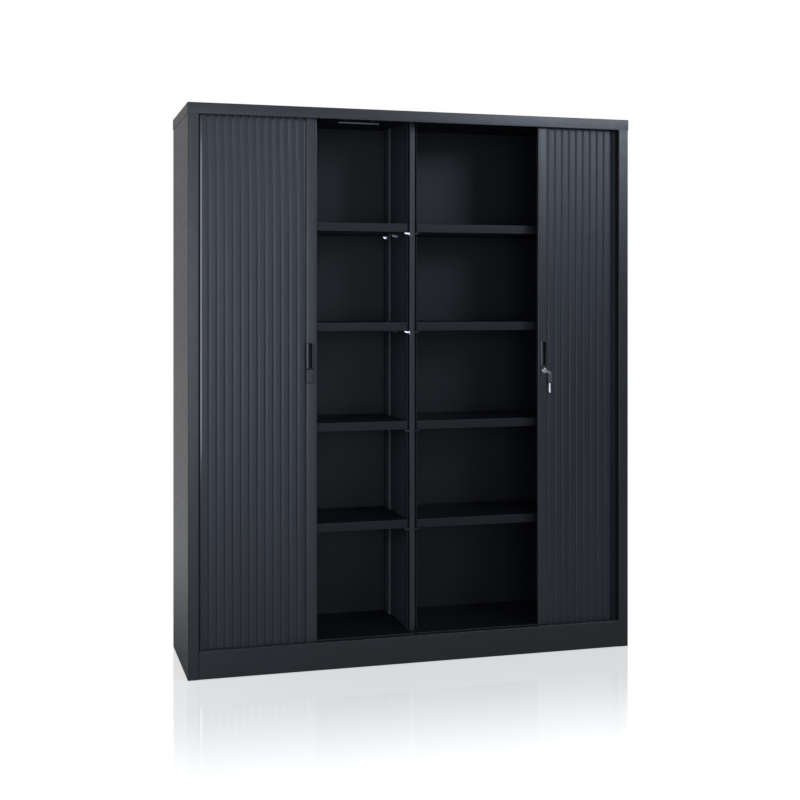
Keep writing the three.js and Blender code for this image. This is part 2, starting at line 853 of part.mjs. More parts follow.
// Lock housing with its round bezel, the bore of the cylinder and the pin of the hook bolt
function buildLockHousing() {
  const bezel = rod('y', bezelRadius, plateFrontY - bezelHeight, plateBackY, [lockX, lockZ]);
  const hookBackY = routeFrontY + hookThickness / 2 + seatGap;
  const tongue = box(
    [hookX - hookHalfWidth, hookBackY, hookZ - hookHalfWidth],
    [hookX + hookHalfWidth, hookBackY + hookPlate, lockBodyBottom + cupWall],
  );
  const pin = rod(
    'y',
    hookPinRadius,
    routeFrontY - hookThickness / 2 - seatGap,
    hookBackY + hookPlate / 2,
    [hookX, hookZ],
    smallRoundSteps,
  );
  const bore = rod(
    'y',
    cylinderRadius + boreClearance,
    plateFrontY - bezelHeight - cutOverrun,
    plateFrontY + lockBodyDepth + cutOverrun,
    [lockX, lockZ],
  );
  const whole = joined([...lockPlate(lockX), bezel, tongue, pin]).subtract(solidOf(bore));
  addPart('lock_housing', geometryOf(whole), 'plastic');
}

// Turns a geometry drawn round the lock's axis to the key's resting angle
function turnedWithKey(geometry) {
  return geometry
    .translate(-lockX, 0, -lockZ)
    .rotateY(bowAngle)
    .translate(lockX, 0, lockZ);
}

// Plug of the lock with its keyway
function buildCylinder() {
  const front = plateFrontY - cylinderProud;
  const plug = rod('y', cylinderRadius, front, front + cylinderLength, [lockX, lockZ]);
  const keyway = turnedWithKey(box(
    [lockX - keywayWidth / 2, front - cutOverrun, lockZ - keywayHeight / 2],
    [lockX + keywayWidth / 2, front + keywayDepth, lockZ + keywayHeight / 2],
  ));
  addPart('lock_cylinder', cut(plug, [keyway]), 'nickel');
}

// Hook bolt, hanging down inside the bar, with its lip towards the leading edge
function buildHook() {
  const end = hookZ - hookReach;
  const shape = outline([
    [hookX - hookHalfWidth, hookZ],
    [hookX - hookHalfWidth, end + hookLipWidth],
    [hookX - hookLip, end + hookLipWidth],
    [hookX - hookLip, end],
    [hookX + hookHalfWidth, end],
    [hookX + hookHalfWidth, hookZ],
  ]);
  const front = routeFrontY - hookThickness / 2;
  const back = routeFrontY + hookThickness / 2;
  const arm = extrudeBack(shape, front, back);
  const eye = rod('y', hookHalfWidth, front, back, [hookX, hookZ], smallRoundSteps);
  const hole = rod(
    'y',
    hookPinRadius + boreClearance,
    front - cutOverrun,
    back + cutOverrun,
    [hookX, hookZ],
    smallRoundSteps,
  );
  addPart('hook_bolt', geometryOf(joined([arm, eye]).subtract(solidOf(hole))), 'zinc');
}

// Key in the lock: blade, shank and the pin on which its bow folds
function buildKey() {
  const blade = box(
    [lockX - bladeWidth / 2, keyPinY, lockZ - bladeThickness / 2],
    [lockX + bladeWidth / 2, plateFrontY - cylinderProud + bladeLength, lockZ + bladeThickness / 2],
  );
  const pin = rod(
    'z',
    foldPinRadius,
    lockZ - foldPinLength / 2,
    lockZ + foldPinLength / 2,
    [lockX, keyPinY],
    smallRoundSteps,
  );
  addPart('key', turnedWithKey(geometryOf(joined([blade, pin]))), 'nickel');
}

// Bow of the key: two knuckles on the fold pin and a flat grip with a hole for the ring
function buildKeyBow() {
  const front = keyPinY - bowThickness / 2;
  const back = keyPinY + bowThickness / 2;
  const slotHalf = bladeThickness / 2 + seatGap;
  const knuckles = [-1, 1].map((hand) => {
    const near = lockZ + hand * slotHalf;
    const far = lockZ + hand * (slotHalf + knuckleLength);
    const [low, high] = [Math.min(near, far), Math.max(near, far)];
    return rod('z', knuckleRadius, low, high, [lockX, keyPinY], smallRoundSteps);
  });
  const gripStart = lockX + bladeWidth / 2 + 2 * seatGap;
  const grip = box(
    [gripStart, front, lockZ - bowEndRadius],
    [lockX + bowReach, back, lockZ + bowEndRadius],
  );
  const arms = [-1, 1].map((hand) => {
    const near = lockZ + hand * slotHalf;
    const far = lockZ + hand * bowEndRadius;
    return box([lockX, front, Math.min(near, far)], [gripStart + sheet, back, Math.max(near, far)]);
  });
  const end = rod('y', bowEndRadius, front, back, [lockX + bowReach, lockZ], roundSteps);
  const hole = rod(
    'y',
    bowHoleRadius,
    front - cutOverrun,
    back + cutOverrun,
    [lockX + bowReach, lockZ],
    smallRoundSteps,
  );
  const pinHole = rod(
    'z',
    foldPinRadius + seatGap,
    lockZ - foldPinLength,
    lockZ + foldPinLength,
    [lockX, keyPinY],
    smallRoundSteps,
  );
  const whole = joined([...knuckles, ...arms, grip, end]);
  const bow = whole.subtract(solidOf(hole)).subtract(solidOf(pinHole));
  addPart('key_bow', turnedWithKey(geometryOf(bow)), 'plastic');
}

// Ring through the bow and the spare key, in the plane of Y and Z
function buildKeyRing() {
  const ring = new THREE.TorusGeometry(ringRadius, ringWire, smallRoundSteps / 2, roundSteps);
  ring.rotateY(Math.PI / 2);
  const mesh = addPart('key_ring', ring, 'nickel');
  mesh.position.set(bowHoleX, keyPinY, ringZ);
}

// Spare key: a round head with a hole, a neck and a blade, hanging straight down
function buildSpareKey() {
  const front = keyPinY - bowThickness / 2;
  const back = keyPinY + bowThickness / 2;
  const headZ = spareHoleZ - spareHeadDrop;
  const neckEnd = headZ - spareNeckLength;
  const bladeInset = (bowThickness - bladeThickness) / 2;
  const head = rod('y', spareHeadRadius, front, back, [bowHoleX, headZ]);
  const neck = box(
    [bowHoleX - spareNeckWidth / 2, front, neckEnd],
    [bowHoleX + spareNeckWidth / 2, back, headZ],
  );
  const tipEnd = neckEnd - spareBladeLength;
  const blade = extrudeBack(
    outline([
      [bowHoleX - spareBladeWidth / 2, neckEnd + sheet],
      [bowHoleX - spareBladeWidth / 2, tipEnd + spareBladeWidth / 2],
      [bowHoleX, tipEnd],
      [bowHoleX + spareBladeWidth / 2, tipEnd + spareBladeWidth / 2],
      [bowHoleX + spareBladeWidth / 2, neckEnd + sheet],
    ]),
    front + bladeInset,
    back - bladeInset,
  );
  const hole = rod(
    'y',
    bowHoleRadius,
    front - cutOverrun,
    back + cutOverrun,
    [bowHoleX, spareHoleZ],
    smallRoundSteps,
  );
  addPart('spare_key', geometryOf(joined([head, neck, blade]).subtract(solidOf(hole))), 'nickel');
}

// Levelling feet: a disc and a screw that runs up through the base deck
function buildFeet() {
  const profile = [
    [0, 0],
    [footRadius, 0],
    [footRadius, footThickness],
    [footStemRadius, footThickness],
    [footStemRadius, footStemTop],
    [0, footStemTop],
  ].map(([radius, height]) => new THREE.Vector2(radius, height));
  footPlaces().forEach(([name, x, y]) => {
    const geometry = new THREE.LatheGeometry(profile, smallRoundSteps).rotateX(Math.PI / 2);
    addPart(name, geometry, 'zinc').position.set(x, y, 0);
  });
}

// Stay rod under the top deck of the left bay, on two short posts
function buildStayRod() {
  const right = -stayCentreInset;
  const left = right - stayLength;
  const y = frontY + stayDepthInset;
  const z = topDeckBottom - stayDrop;
  const posts = [left + stayPostInset, right - stayPostInset].map((x) => (
    rod('z', stayPostRadius, z, topDeckBottom - seatGap, [x, y], smallRoundSteps)
  ));
  const bar = rod('x', stayRadius, left, right, [y, z], smallRoundSteps);
  addPart('stay_rod', geometryOf(joined([bar, ...posts])), 'zinc');
}

const sides = [[-1, 'left', leftOpening], [1, 'right', rightOpening]];

buildLid();
buildBaseRail();
buildDecks();
buildFloor();
buildPartition();
buildCentreStops();
buildUprights();
sides.forEach(([side, word, opening]) => {
  buildSidePanel(side, word);
  buildBackPanel(side, word);
  buildLiner(side, word);
  buildFalseBack(side, word);
  shelfLevels.forEach((_, index) => buildShelf(side, word, index));
  buildTracks(side, word);
  buildCurtain(side, word, opening);
  buildLeadingBar(side, word, opening);
  buildShoes(side, word, opening);
  buildHandleCup(side, word, opening);
});
buildKeeper();
buildLockHousing();
buildCylinder();
buildHook();
buildKey();
buildKeyBow();
buildKeyRing();
buildSpareKey();
buildFeet();
buildStayRod();

export default cabinet;
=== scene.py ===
"""Tambour door cabinet: the finishes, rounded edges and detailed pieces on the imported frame.

Metres, +Z up. The front faces -Y and +X is to the right.
"""

import json
import math

import bmesh
import bpy
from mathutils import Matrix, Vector


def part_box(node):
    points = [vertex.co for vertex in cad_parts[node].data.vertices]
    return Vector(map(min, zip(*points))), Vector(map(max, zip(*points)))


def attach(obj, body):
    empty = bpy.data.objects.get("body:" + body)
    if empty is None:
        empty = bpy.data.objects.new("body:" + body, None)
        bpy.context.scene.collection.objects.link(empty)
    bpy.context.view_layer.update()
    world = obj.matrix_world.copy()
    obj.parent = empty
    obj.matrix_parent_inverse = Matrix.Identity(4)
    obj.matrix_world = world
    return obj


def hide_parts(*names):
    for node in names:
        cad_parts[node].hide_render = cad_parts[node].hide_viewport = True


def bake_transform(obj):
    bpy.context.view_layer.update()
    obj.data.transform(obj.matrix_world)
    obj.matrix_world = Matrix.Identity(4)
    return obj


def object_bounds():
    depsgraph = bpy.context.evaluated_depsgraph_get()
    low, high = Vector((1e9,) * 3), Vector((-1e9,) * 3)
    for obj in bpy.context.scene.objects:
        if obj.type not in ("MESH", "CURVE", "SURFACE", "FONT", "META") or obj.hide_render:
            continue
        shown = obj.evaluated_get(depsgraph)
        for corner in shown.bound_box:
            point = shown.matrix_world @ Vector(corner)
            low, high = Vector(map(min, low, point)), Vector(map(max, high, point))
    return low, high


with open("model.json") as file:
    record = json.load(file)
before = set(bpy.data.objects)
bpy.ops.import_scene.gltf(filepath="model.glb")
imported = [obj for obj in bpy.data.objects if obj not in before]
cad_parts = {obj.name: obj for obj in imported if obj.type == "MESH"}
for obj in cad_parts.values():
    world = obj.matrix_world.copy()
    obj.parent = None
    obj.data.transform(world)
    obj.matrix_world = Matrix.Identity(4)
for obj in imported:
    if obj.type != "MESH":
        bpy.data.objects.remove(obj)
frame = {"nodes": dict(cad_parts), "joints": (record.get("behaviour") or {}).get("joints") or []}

cad_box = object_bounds()
cad_low, cad_high = (Vector(corner) for corner in cad_box)
nodes = frame["nodes"]
sides = {"left": -1, "right": 1}
ends = ("bottom", "top")

# Camera: a level lens with its frame shifted down, as in the photograph
camera_place = Vector((-1.3469, -4.7012, 1.3))
camera_azimuth = math.radians(15.9555)
camera_lens = 58.459
camera_shift = -0.1242

# Edges and shading: widths of the rounded edges, and the angles in degrees from which an
# edge is rounded or kept sharp
sheet_edge = 0.0004
rail_edge = 0.0009
moulded_edge = 0.0008
key_edge = 0.0003
blade_edge = 0.0002
strip_edge = 0.0006
nut_edge = 0.0007
sharp_angle = 32
moulded_angle = 40
turned_angle = 50
foot_angle = 28
bevel_angle = 38
fold_angle = 50
weld_distance = 1e-5
facing = 0.7

# Slats of the shutters
slat_pitch = 0.0283
slat_count = 29
slat_thickness = 0.008
slat_wall = 0.0012
slat_drop = 0.001
slat_shoulder = 0.008
slat_joint = 0.0004
slat_tongue = 0.003
slat_leg = 0.0007
shoulder_steps = 6
filler_inset = 0.00175
pocket_inset = 0.024
pocket_inset_pair = 0.033
last_slat_share = 0.6
share_slack = 0.0001
far_away = 500.0

# Route of the shutters
corner_radius = 0.04
closed_count = 26

# Leading bars and their plates
bar_width = 0.0405
bar_wall = 0.0016
nose_width = 0.0094
nose_radius = 0.0022
nose_step = 0.0005
bar_shoulder = 0.006
bar_shoulder_drop = 0.0018
bar_groove = 0.0028
bar_groove_depth = 0.0055
plate_inset = 0.0095
plate_width = 0.03
plate_thickness = 0.0015
window_width = 0.024
seat_gap = 0.0003
overrun = 0.003
hook_slot_width = 0.006

# Rounded flank of a plate, in shares of its thickness: how far it is in from the plate's
# width and from its height, and how far behind its front
plate_flank = [(2, 2, 0), (1, 1.1, 0.15), (0.3, 0.3, 0.6), (0, 0, 1.2)]

# Handle recesses, keeper and lock
recess_height = 0.086
recess_width = 0.013
recess_corner = 0.003
rim_width = 0.002
rim_lift = 0.001
plate_corner = 0.003
cup_wall = 0.0015
body_half_width = 0.0117
lock_body_height = 0.027
cylinder_radius = 0.006
cylinder_chamfer = 0.0004
bore_radius = 0.0063
bezel_radius = 0.0095
bezel_skin = 0.0003
bezel_rise = 0.0011
bezel_steps = 8
lock_steps = 48
keyway_width = 0.009
keyway_height = 0.0026
keyway_depth = 0.02
key_turn = math.radians(22)
keeper_hole_radius = 0.0026
keeper_hole_depth = 0.003
hole_reach = 1.01 * keeper_hole_radius
keeper_holes = [(0.0072, 0.0), (-0.004, -0.0155), (0.009, -0.0155)]
hole_steps = 16

# Uprights, shelf clips and rail tabs
sheet = 0.0012
upright_height = 0.008
upright_bend = 0.0018
bend_steps = 3
slot_pitch = 0.03
slot_width = 0.004
slot_length = 0.014
clip_reach = 0.015
clip_width = 0.01
clip_height = 0.012
clip_sheet = 0.0016
clip_drop = 0.0105
clip_nose = 0.004
clip_heel = 0.01
clip_skew = 0.17
front_clip_width = 0.006
middle_clip_place = 0.008
tab_width = 0.034
tab_inset = 0.0015

# Strips behind the stiles
strip_clearance = 0.0012
strip_depth = 0.005
strip_web = 0.0015
strip_gap = 0.0072
strip_width = 0.0068
wide_strip_width = 0.0083

# Rivets, feet and the knob of the rod. The knob's profile is in shares of the rod's radius.
rivet_radius = 0.0032
rivet_height = 0.0011
rivet_inset = 0.0125
rivet_dome = (20, 70, 2)
rivets_up = 7
pad_radius = 0.018
pad_height = 0.008
pad_steps = 40
stem_radius = 0.005
stem_steps = 20
thread_pitch = 0.003
thread_depth = 0.0006
nut_radius = 0.0098
nut_height = 0.007
knob_profile = [(0.9, -1.6), (1.35, -1.2), (1.4, -0.4), (1.1, 0.1), (0.5, 0.3)]
knob_steps = 28

# Lid
lid_sheet = 0.0012
lid_edge = 0.0022
lid_steps = 3

# Split ring and spare key. The cuts are shares of the blade's width.
ring_radius = 0.005
ring_wire = 0.0007
ring_turns = 2
ring_steps = 28
ring_pitch = 1.1 * ring_wire
wire_sides = 8
key_cuts = [0.16, 0.3, 0.12, 0.36, 0.22, 0.3, 0.1]
cut_start = 0.3
cut_end = 0.6
tooth_width = 0.9
spare_blade_width = 0.008
spare_blade_length = 0.037
spare_blade_thickness = 0.002
spare_blade_seat = 0.00575
spare_flank_start = 1.2
spare_flank_end = 0.5
spare_flank_depth = 0.7
spare_neck_width = 0.012
spare_head_radius = 0.0095
spare_head_steps = 20
hole_radius = 0.0022
hole_depth = 0.004
hole_clearance = 0.0004
key_hole_steps = 24


def middle_of(node):
    """Middle of a CAD node's box."""
    low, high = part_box(node)
    return (low + high) / 2


def inner_and_outer(node):
    """How far a node reaches from the middle of the cabinet, at its near and its far end."""
    low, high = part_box(node)
    return min(abs(low.x), abs(high.x)), max(abs(low.x), abs(high.x))


# Meshes

def skin_of(rings, count, closed=False):
    """Faces between rings of count points each, with a cap at either end unless closed."""
    faces = []
    for ring in range(rings if closed else rings - 1):
        near, far = ring * count, (ring + 1) % rings * count
        for i in range(count):
            after = (i + 1) % count
            faces.append((near + i, near + after, far + after, far + i))
    if not closed:
        last = (rings - 1) * count
        faces += [tuple(range(count)), tuple(range(last, last + count))]
    return faces


def arc(start, end, steps):
    """Points of a unit circle from one angle to another, in degrees."""
    angles = [math.radians(start + (end - start) * step / steps) for step in range(steps + 1)]
    return [(math.cos(angle), math.sin(angle)) for angle in angles]


def circle(steps):
    """Points of a whole unit circle."""
    return arc(0, 360, steps)[:-1]


def prism(section, low, high, along="z"):
    """Points and faces of a closed section drawn out along Y or Z."""
    points = [(a, c, b) if along == "y" else (a, b, c) for c in (low, high) for a, b in section]
    return points, skin_of(2, len(section))


def block(low, high):
    """Points and faces of a box given by its corners."""
    section = [(low[0], low[1]), (high[0], low[1]), (high[0], high[1]), (low[0], high[1])]
    return prism(section, low[2], high[2])


def together(*solids):
    """Several sets of points and faces as one."""
    points, faces = [], []
    for some_points, some_faces in solids:
        faces += [tuple(i + len(points) for i in face) for face in some_faces]
        points += some_points
    return points, faces


def lathe(profile, steps, centre, axis="z", closed=False):
    """Points and faces of a profile of (radius, height) turned about an axis through centre.
    A closed profile makes a ring."""
    points = []
    for radius, height in profile:
        for cosine, sine in circle(steps):
            a, b = radius * cosine, radius * sine
            local = {"x": (height, a, b), "y": (a, height, b), "z": (a, b, height)}[axis]
            points.append(Vector(local) + Vector(centre))
    return points, skin_of(len(profile), steps, closed)


def loft(levels, centre_x, centre_z):
    """A solid through rounded rectangles that face the front. Each level gives half the
    width, half the height, the corner radius, the depth and how far its middle is raised."""
    points = []
    for half_width, half_height, corner, depth, rise in levels:
        outline = rounded_rectangle(
            centre_x - half_width, centre_z + rise - half_height,
            centre_x + half_width, centre_z + rise + half_height, corner,
        )
        points += [(x, depth, z) for x, z in outline]
    return points, skin_of(len(levels), len(outline))


def rounded_rectangle(left, bottom, right, top, radius, steps=4):
    """Outline of a rectangle with round corners, anticlockwise."""
    corners = [
        (right - radius, bottom + radius, -90), (right - radius, top - radius, 0),
        (left + radius, top - radius, 90), (left + radius, bottom + radius, 180),
    ]
    outline = []
    for x, y, start in corners:
        outline += [(x + radius * a, y + radius * b) for a, b in arc(start, start + 90, steps)]
    return outline


def shoulder(width, drop):
    """Round shoulder as (run, fall) from a level face to the edge that it drops to."""
    turn = 2 * math.atan(drop / width)
    radius = width / math.sin(turn)
    places = arc(0, math.degrees(turn), shoulder_steps)
    return [(radius * sine, radius * (1 - cosine)) for cosine, sine in places]


def sharpen(piece, degrees=sharp_angle):
    """Smooths the round parts of a piece and keeps its edges sharp."""
    for face in piece.data.polygons:
        face.use_smooth = True
    piece.data.set_sharp_from_angle(angle=math.radians(degrees))
    return piece


def add_piece(name, points, faces, material, slot, body=None, degrees=sharp_angle):
    """A piece from its points and faces, with its normals out and its round parts smooth."""
    mesh = bpy.data.meshes.new(name)
    mesh.from_pydata([tuple(point) for point in points], [], faces)
    work = bmesh.new()
    work.from_mesh(mesh)
    bmesh.ops.recalc_face_normals(work, faces=work.faces)
    work.to_mesh(mesh)
    work.free()
    mesh.materials.append(material)
    piece = bpy.data.objects.new(name, mesh)
    bpy.context.scene.collection.objects.link(piece)
    sharpen(piece, degrees)
    if body:
        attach(piece, body)
    return piece


def recoat(piece, material, chosen):
    """Gives the chosen faces of a piece another material."""
    mesh = piece.data
    mesh.materials.append(material)
    for face in mesh.polygons:
        if chosen(face):
            face.material_index = len(mesh.materials) - 1


def round_edges(piece, width, segments, degrees):
    """Adds a bevel to the edges that turn by more than an angle."""
    edge = piece.modifiers.new("edge", "BEVEL")
    edge.width = width
    edge.segments = segments
    edge.limit_method = "ANGLE"
    edge.angle_limit = math.radians(degrees)


def weigh_normals(piece, keep_sharp):
    """Shades the flat faces of a piece flat and its narrow bevels round."""
    shade = piece.modifiers.new("shade", "WEIGHTED_NORMAL")
    shade.keep_sharp = keep_sharp


def bevel(piece, width, segments=2):
    """Rounds the sharp edges of a piece and smooths its shading."""
    weld = piece.modifiers.new("weld", "WELD")
    weld.merge_threshold = weld_distance
    round_edges(piece, width, segments, bevel_angle)
    weigh_normals(piece, False)


def settle(piece):
    """Applies the modifiers of a piece to its mesh."""
    bpy.context.view_layer.update()
    graph = bpy.context.evaluated_depsgraph_get()
    mesh = bpy.data.meshes.new_from_object(piece.evaluated_get(graph))
    piece.modifiers.clear()
    piece.data = mesh
    return piece


def thicken(piece, thickness, edge_width=0.0):
    """Turns a folded surface at mid-sheet into sheet metal."""
    skin = piece.modifiers.new("skin", "SOLIDIFY")
    skin.thickness = thickness
    skin.offset = 0
    skin.use_even_offset = True
    if edge_width:
        round_edges(piece, edge_width, 2, fold_angle)
    sharpen(settle(piece))


def carve(piece, cutters):
    """Cuts closed sets of points and faces out of a piece."""
    helpers = []
    for points, faces in cutters:
        helper = add_piece("cutter", points, faces, piece.data.materials[0], "inner")
        helpers.append(helper)
        cut = piece.modifiers.new("cut", "BOOLEAN")
        cut.operation = "DIFFERENCE"
        cut.solver = "EXACT"
        cut.object = helper
    settle(piece)
    for helper in helpers:
        bpy.data.objects.remove(helper)


# Finishes

noise_low, noise_high = 0.3, 0.7


def add_node(tree, kind, sockets=None, **settings):
    """Shader node with its settings, and its sockets linked to outputs or set to values."""
    node = tree.nodes.new(kind)
    for setting, value in settings.items():
        setattr(node, setting, value)
    for socket, value in (sockets or {}).items():
        if isinstance(value, bpy.types.NodeSocket):
            tree.links.new(value, node.inputs[socket])
        else:
            node.inputs[socket].default_value = value
    return node


def run_of(tree, source, start, end, low, high, smooth=False):
    """Value from low to high as the source runs from start to end."""
    sockets = {"Value": source, "From Min": start, "From Max": end, "To Min": low, "To Max": high}
    kind = "SMOOTHSTEP" if smooth else "LINEAR"
    return add_node(tree, "ShaderNodeMapRange", sockets, interpolation_type=kind).outputs["Result"]


def noise_of(tree, scale, detail, stretch=(1, 1, 1)):
    """A noise in the object's own place. Scale is the number of waves in a metre."""
    place = add_node(tree, "ShaderNodeTexCoord").outputs["Object"]
    spread = add_node(tree, "ShaderNodeMapping", {"Vector": place, "Scale": stretch})
    sockets = {"Vector": spread.outputs["Vector"], "Scale": scale, "Detail": detail}
    return add_node(tree, "ShaderNodeTexNoise", sockets).outputs["Fac"]


def opaque(colour, share=1):
    """A share of a colour, for a colour socket."""
    return (*(channel * share for channel in colour), 1)


def finish(name, colour, roughness, level=0.5, *, tone, gloss, relief, metallic=0.0):
    """Material whose tone, roughness and relief vary with noises."""
    material = bpy.data.materials.new(name)
    material.use_nodes = True
    tree = material.node_tree
    shader = tree.nodes["Principled BSDF"]
    shader.inputs["Base Color"].default_value = opaque(colour)
    shader.inputs["Roughness"].default_value = roughness
    shader.inputs["Metallic"].default_value = metallic
    shader.inputs["Specular IOR Level"].default_value = level

    noise, dark, light = tone
    share = run_of(tree, noise_of(tree, *noise), noise_low, noise_high, 0, 1)
    sockets = {0: share, 6: opaque(colour, dark), 7: opaque(colour, light)}
    mix = add_node(tree, "ShaderNodeMix", sockets, data_type="RGBA")
    tree.links.new(mix.outputs[2], shader.inputs["Base Color"])

    noise, less, more = gloss
    source = noise_of(tree, *noise)
    rough = run_of(tree, source, noise_low, noise_high, roughness - less, roughness + more)
    tree.links.new(rough, shader.inputs["Roughness"])

    normal = None
    for noise, depth, strength in relief:
        sockets = {"Height": noise_of(tree, *noise), "Distance": depth, "Strength": strength}
        if normal:
            sockets["Normal"] = normal
        normal = add_node(tree, "ShaderNodeBump", sockets).outputs["Normal"]
    tree.links.new(normal, shader.inputs["Normal"])
    return material


# Kinds of finish. A noise is its waves in a metre, its detail and its stretch. The tone goes
# from one share of the colour to another, the gloss from less to more roughness, and each
# layer of relief has a depth in metres and a strength.

# Baked powder coat: a fine orange peel with faint cloudiness in tone and gloss
powder_coat = {
    "tone": ((2.3, 3.0), 0.9, 1.1),
    "gloss": ((40, 3.0), 0.03, 0.04),
    "relief": [((620, 1.5), 0.00012, 0.35), ((2600, 1.0), 0.00004, 0.3)],
}
# Coated slat: fine lines drawn along its length and a slight change of tone across
drawn_lines = (900, 2.0, (1, 1, 0.004))
drawn = {
    "tone": ((14, 2.0, (1, 1, 0.12)), 0.9, 1.12),
    "gloss": (drawn_lines, 0.05, 0.06),
    "relief": [(drawn_lines, 0.00004, 0.25), ((1500, 1.0), 0.00003, 0.3)],
}
# Moulded plastic with a fine spark-eroded grain
moulded = {
    "tone": ((30, 2.0), 0.88, 1.15),
    "gloss": ((1900, 2.0), 0.05, 0.05),
    "relief": [((1900, 2.0), 0.00006, 0.4)],
}
# Plated metal with hairline scratches and faint mottling
plated = {
    "tone": ((160, 3.0), 0.86, 1.05),
    "gloss": ((2200, 2.0), 0.05, 0.09),
    "relief": [((2200, 2.0), 0.00003, 0.25)],
    "metallic": 1.0,
}

shell_coat = finish("shell_powder_coat", (0.0095, 0.0098, 0.0108), 0.33, **powder_coat)
# Inside the bays the coat is far darker than the shell's: painted shade
inner_painted_shade_coat = finish("inner_shade_painted_coat", (0.004, 0.0043, 0.006), 0.44, 0.26, **powder_coat)
# Lighter coat for the partition's sides: painted light where light through the openings falls on them
partition_sides_painted_light_coat = finish("partition_sides_painted_light", (0.028, 0.03, 0.035), 0.5, 0.3, **powder_coat)
# Lit and shaded copies of one coat: the rear uprights lighter as a painted sheen, the front ones darker as
# painted shade
upright_coats_lit_and_shaded = {
    "front": finish("front_upright_painted_shade_coat", (0.019, 0.0205, 0.023), 0.65, 0.2, **powder_coat),
    "rear": finish("rear_upright_painted_sheen_coat", (0.042, 0.046, 0.05), 0.6, 0.3, **powder_coat),
}
slat_coat = finish("slat_finish", (0.0088, 0.01, 0.0138), 0.38, 0.44, **drawn)
bar_coat = finish("bar_finish", (0.0115, 0.012, 0.0135), 0.34, **drawn)
plate_plastic = finish("plate_moulding", (0.0105, 0.0105, 0.011), 0.34, **moulded)
glossy_plastic = finish("glossy_moulding", (0.006, 0.006, 0.0065), 0.12, 0.9, **moulded)
# Darker copy of the moulding: painted shade in the finger recesses, the screw holes, the gap beside the
# stiles and on the right strip
painted_shade_plastic = finish("painted_shade_moulding", (0.0045, 0.0045, 0.0048), 0.6, 0.25, **moulded)
black_plastic = finish("black_moulding", (0.0082, 0.0082, 0.0085), 0.42, **moulded)
track_plastic = finish("track_moulding", (0.01, 0.0103, 0.0108), 0.55, **moulded)
grip_plastic = finish("key_grip_moulding", (0.05, 0.051, 0.054), 0.38, **moulded)
foot_rubber = finish("foot_rubber", (0.0065, 0.0065, 0.0067), 0.75, **moulded)
nickel_plate = finish("nickel_plate", (0.78, 0.76, 0.72), 0.2, **plated)
bright_nickel = finish("bright_nickel_plate", (0.82, 0.8, 0.77), 0.13, **plated)
dull_nickel = finish("dull_nickel_plate", (0.42, 0.41, 0.4), 0.3, **plated)
zinc_plate = finish("zinc_plate", (0.7, 0.71, 0.73), 0.3, **plated)
# Dark plating for the clips that lie in shadow: painted shade
painted_shade_zinc = finish("painted_shade_zinc_plate", (0.03, 0.031, 0.034), 0.45, **plated)
dull_zinc = finish("dull_zinc", (0.2, 0.21, 0.225), 0.42, **plated)


# Stage, light and camera

# The world: its light, and what gloss sees of it in front, at the back and above. The
# ranges are directions along Y and Z between which one passes into the other.
world_light = 0.3
gloss_front = 0.24
gloss_back = 0.43
gloss_above = 0.12
soft_tint = (0.93, 0.96, 1.0)
back_tint = (0.97, 0.94, 1.0)
above_tint = (0.9, 0.95, 1.0)
white = (1, 1, 1)
back_range = (-0.1, 0.8)
above_range = (0.3, 0.75)

# The floor: its colour to the camera and to other rays, the lift that makes it white, and
# the share of its mirror image with the distance from the cabinet
floor_size = 60.0
floor_drop = 0.0006
floor_albedo_seen = 0.27
floor_albedo = 0.45
floor_lift = 0.92
floor_gloss = 0.35
floor_gloss_near = floor_gloss / 4
gloss_far = 2.0
behind = 4 * cad_high.y
mirror_share = 0.38
mirror_near = 0.2
mirror_far = 1.35
mirror_roughness = 0.06

# Each lamp is a name, a place, its target, its width and height, its glow, its colour, and
# whether it shows in reflections
cool = (0.72, 0.82, 1.0)
watts_for_glow = 4
lamps = [
    ("lamp_front", (-1.65, -5.6, 1.33), (-0.3, 0.0, 1.1), (3.9, 2.5), 3.4, cool, True),
    ("lamp_left", (-4.2, -3.2, 2.5), (-0.4, 0.0, 1.1), (2.2, 2.2), 3.4, cool, False),
    ("lamp_right", (2.35, -3.8, 2.97), (0.7, -0.2, 1.7), (1.6, 1.3), 8.5, cool, True),
    ("lamp_top", (0.2, -2.6, 4.6), (0.0, -0.2, 0.9), (2.8, 2.8), 1.8, (0.95, 0.97, 1.0), False),
]


def background(tree, colour, strength):
    """Light of one colour from all round."""
    sockets = {"Color": opaque(colour), "Strength": strength}
    return add_node(tree, "ShaderNodeBackground", sockets).outputs[0]


def mixed(tree, share, first, second):
    """Shader between two shaders. The share is an output of another node."""
    return add_node(tree, "ShaderNodeMixShader", {0: share, 1: first, 2: second}).outputs[0]


def combine(tree, kind, *sources):
    """Result of a math node on outputs and plain numbers."""
    return add_node(tree, "ShaderNodeMath", dict(enumerate(sources)), operation=kind).outputs[0]


def axes_of(tree, place):
    """The parts of a place or direction, one for each axis."""
    return add_node(tree, "ShaderNodeSeparateXYZ", {0: place}).outputs


def build_world():
    """White to the camera. The studio gives a soft light, and gloss sees it pale at the back
    and dimmer in front and overhead."""
    world = bpy.data.worlds.new("studio")
    bpy.context.scene.world = world
    world.use_nodes = True
    tree = world.node_tree
    tree.nodes.clear()
    rays = add_node(tree, "ShaderNodeLightPath").outputs
    axes = axes_of(tree, add_node(tree, "ShaderNodeTexCoord").outputs["Generated"])
    backward = run_of(tree, axes["Y"], *back_range, 0, 1, True)
    upward = run_of(tree, axes["Z"], *above_range, 0, 1, True)
    front = background(tree, soft_tint, gloss_front)
    level = mixed(tree, backward, front, background(tree, back_tint, gloss_back))
    gloss = mixed(tree, upward, level, background(tree, above_tint, gloss_above))
    light = mixed(tree, rays["Is Glossy Ray"], background(tree, soft_tint, world_light), gloss)
    seen = mixed(tree, rays["Is Camera Ray"], light, background(tree, white, 1.0))
    add_node(tree, "ShaderNodeOutputWorld", {"Surface": seen})


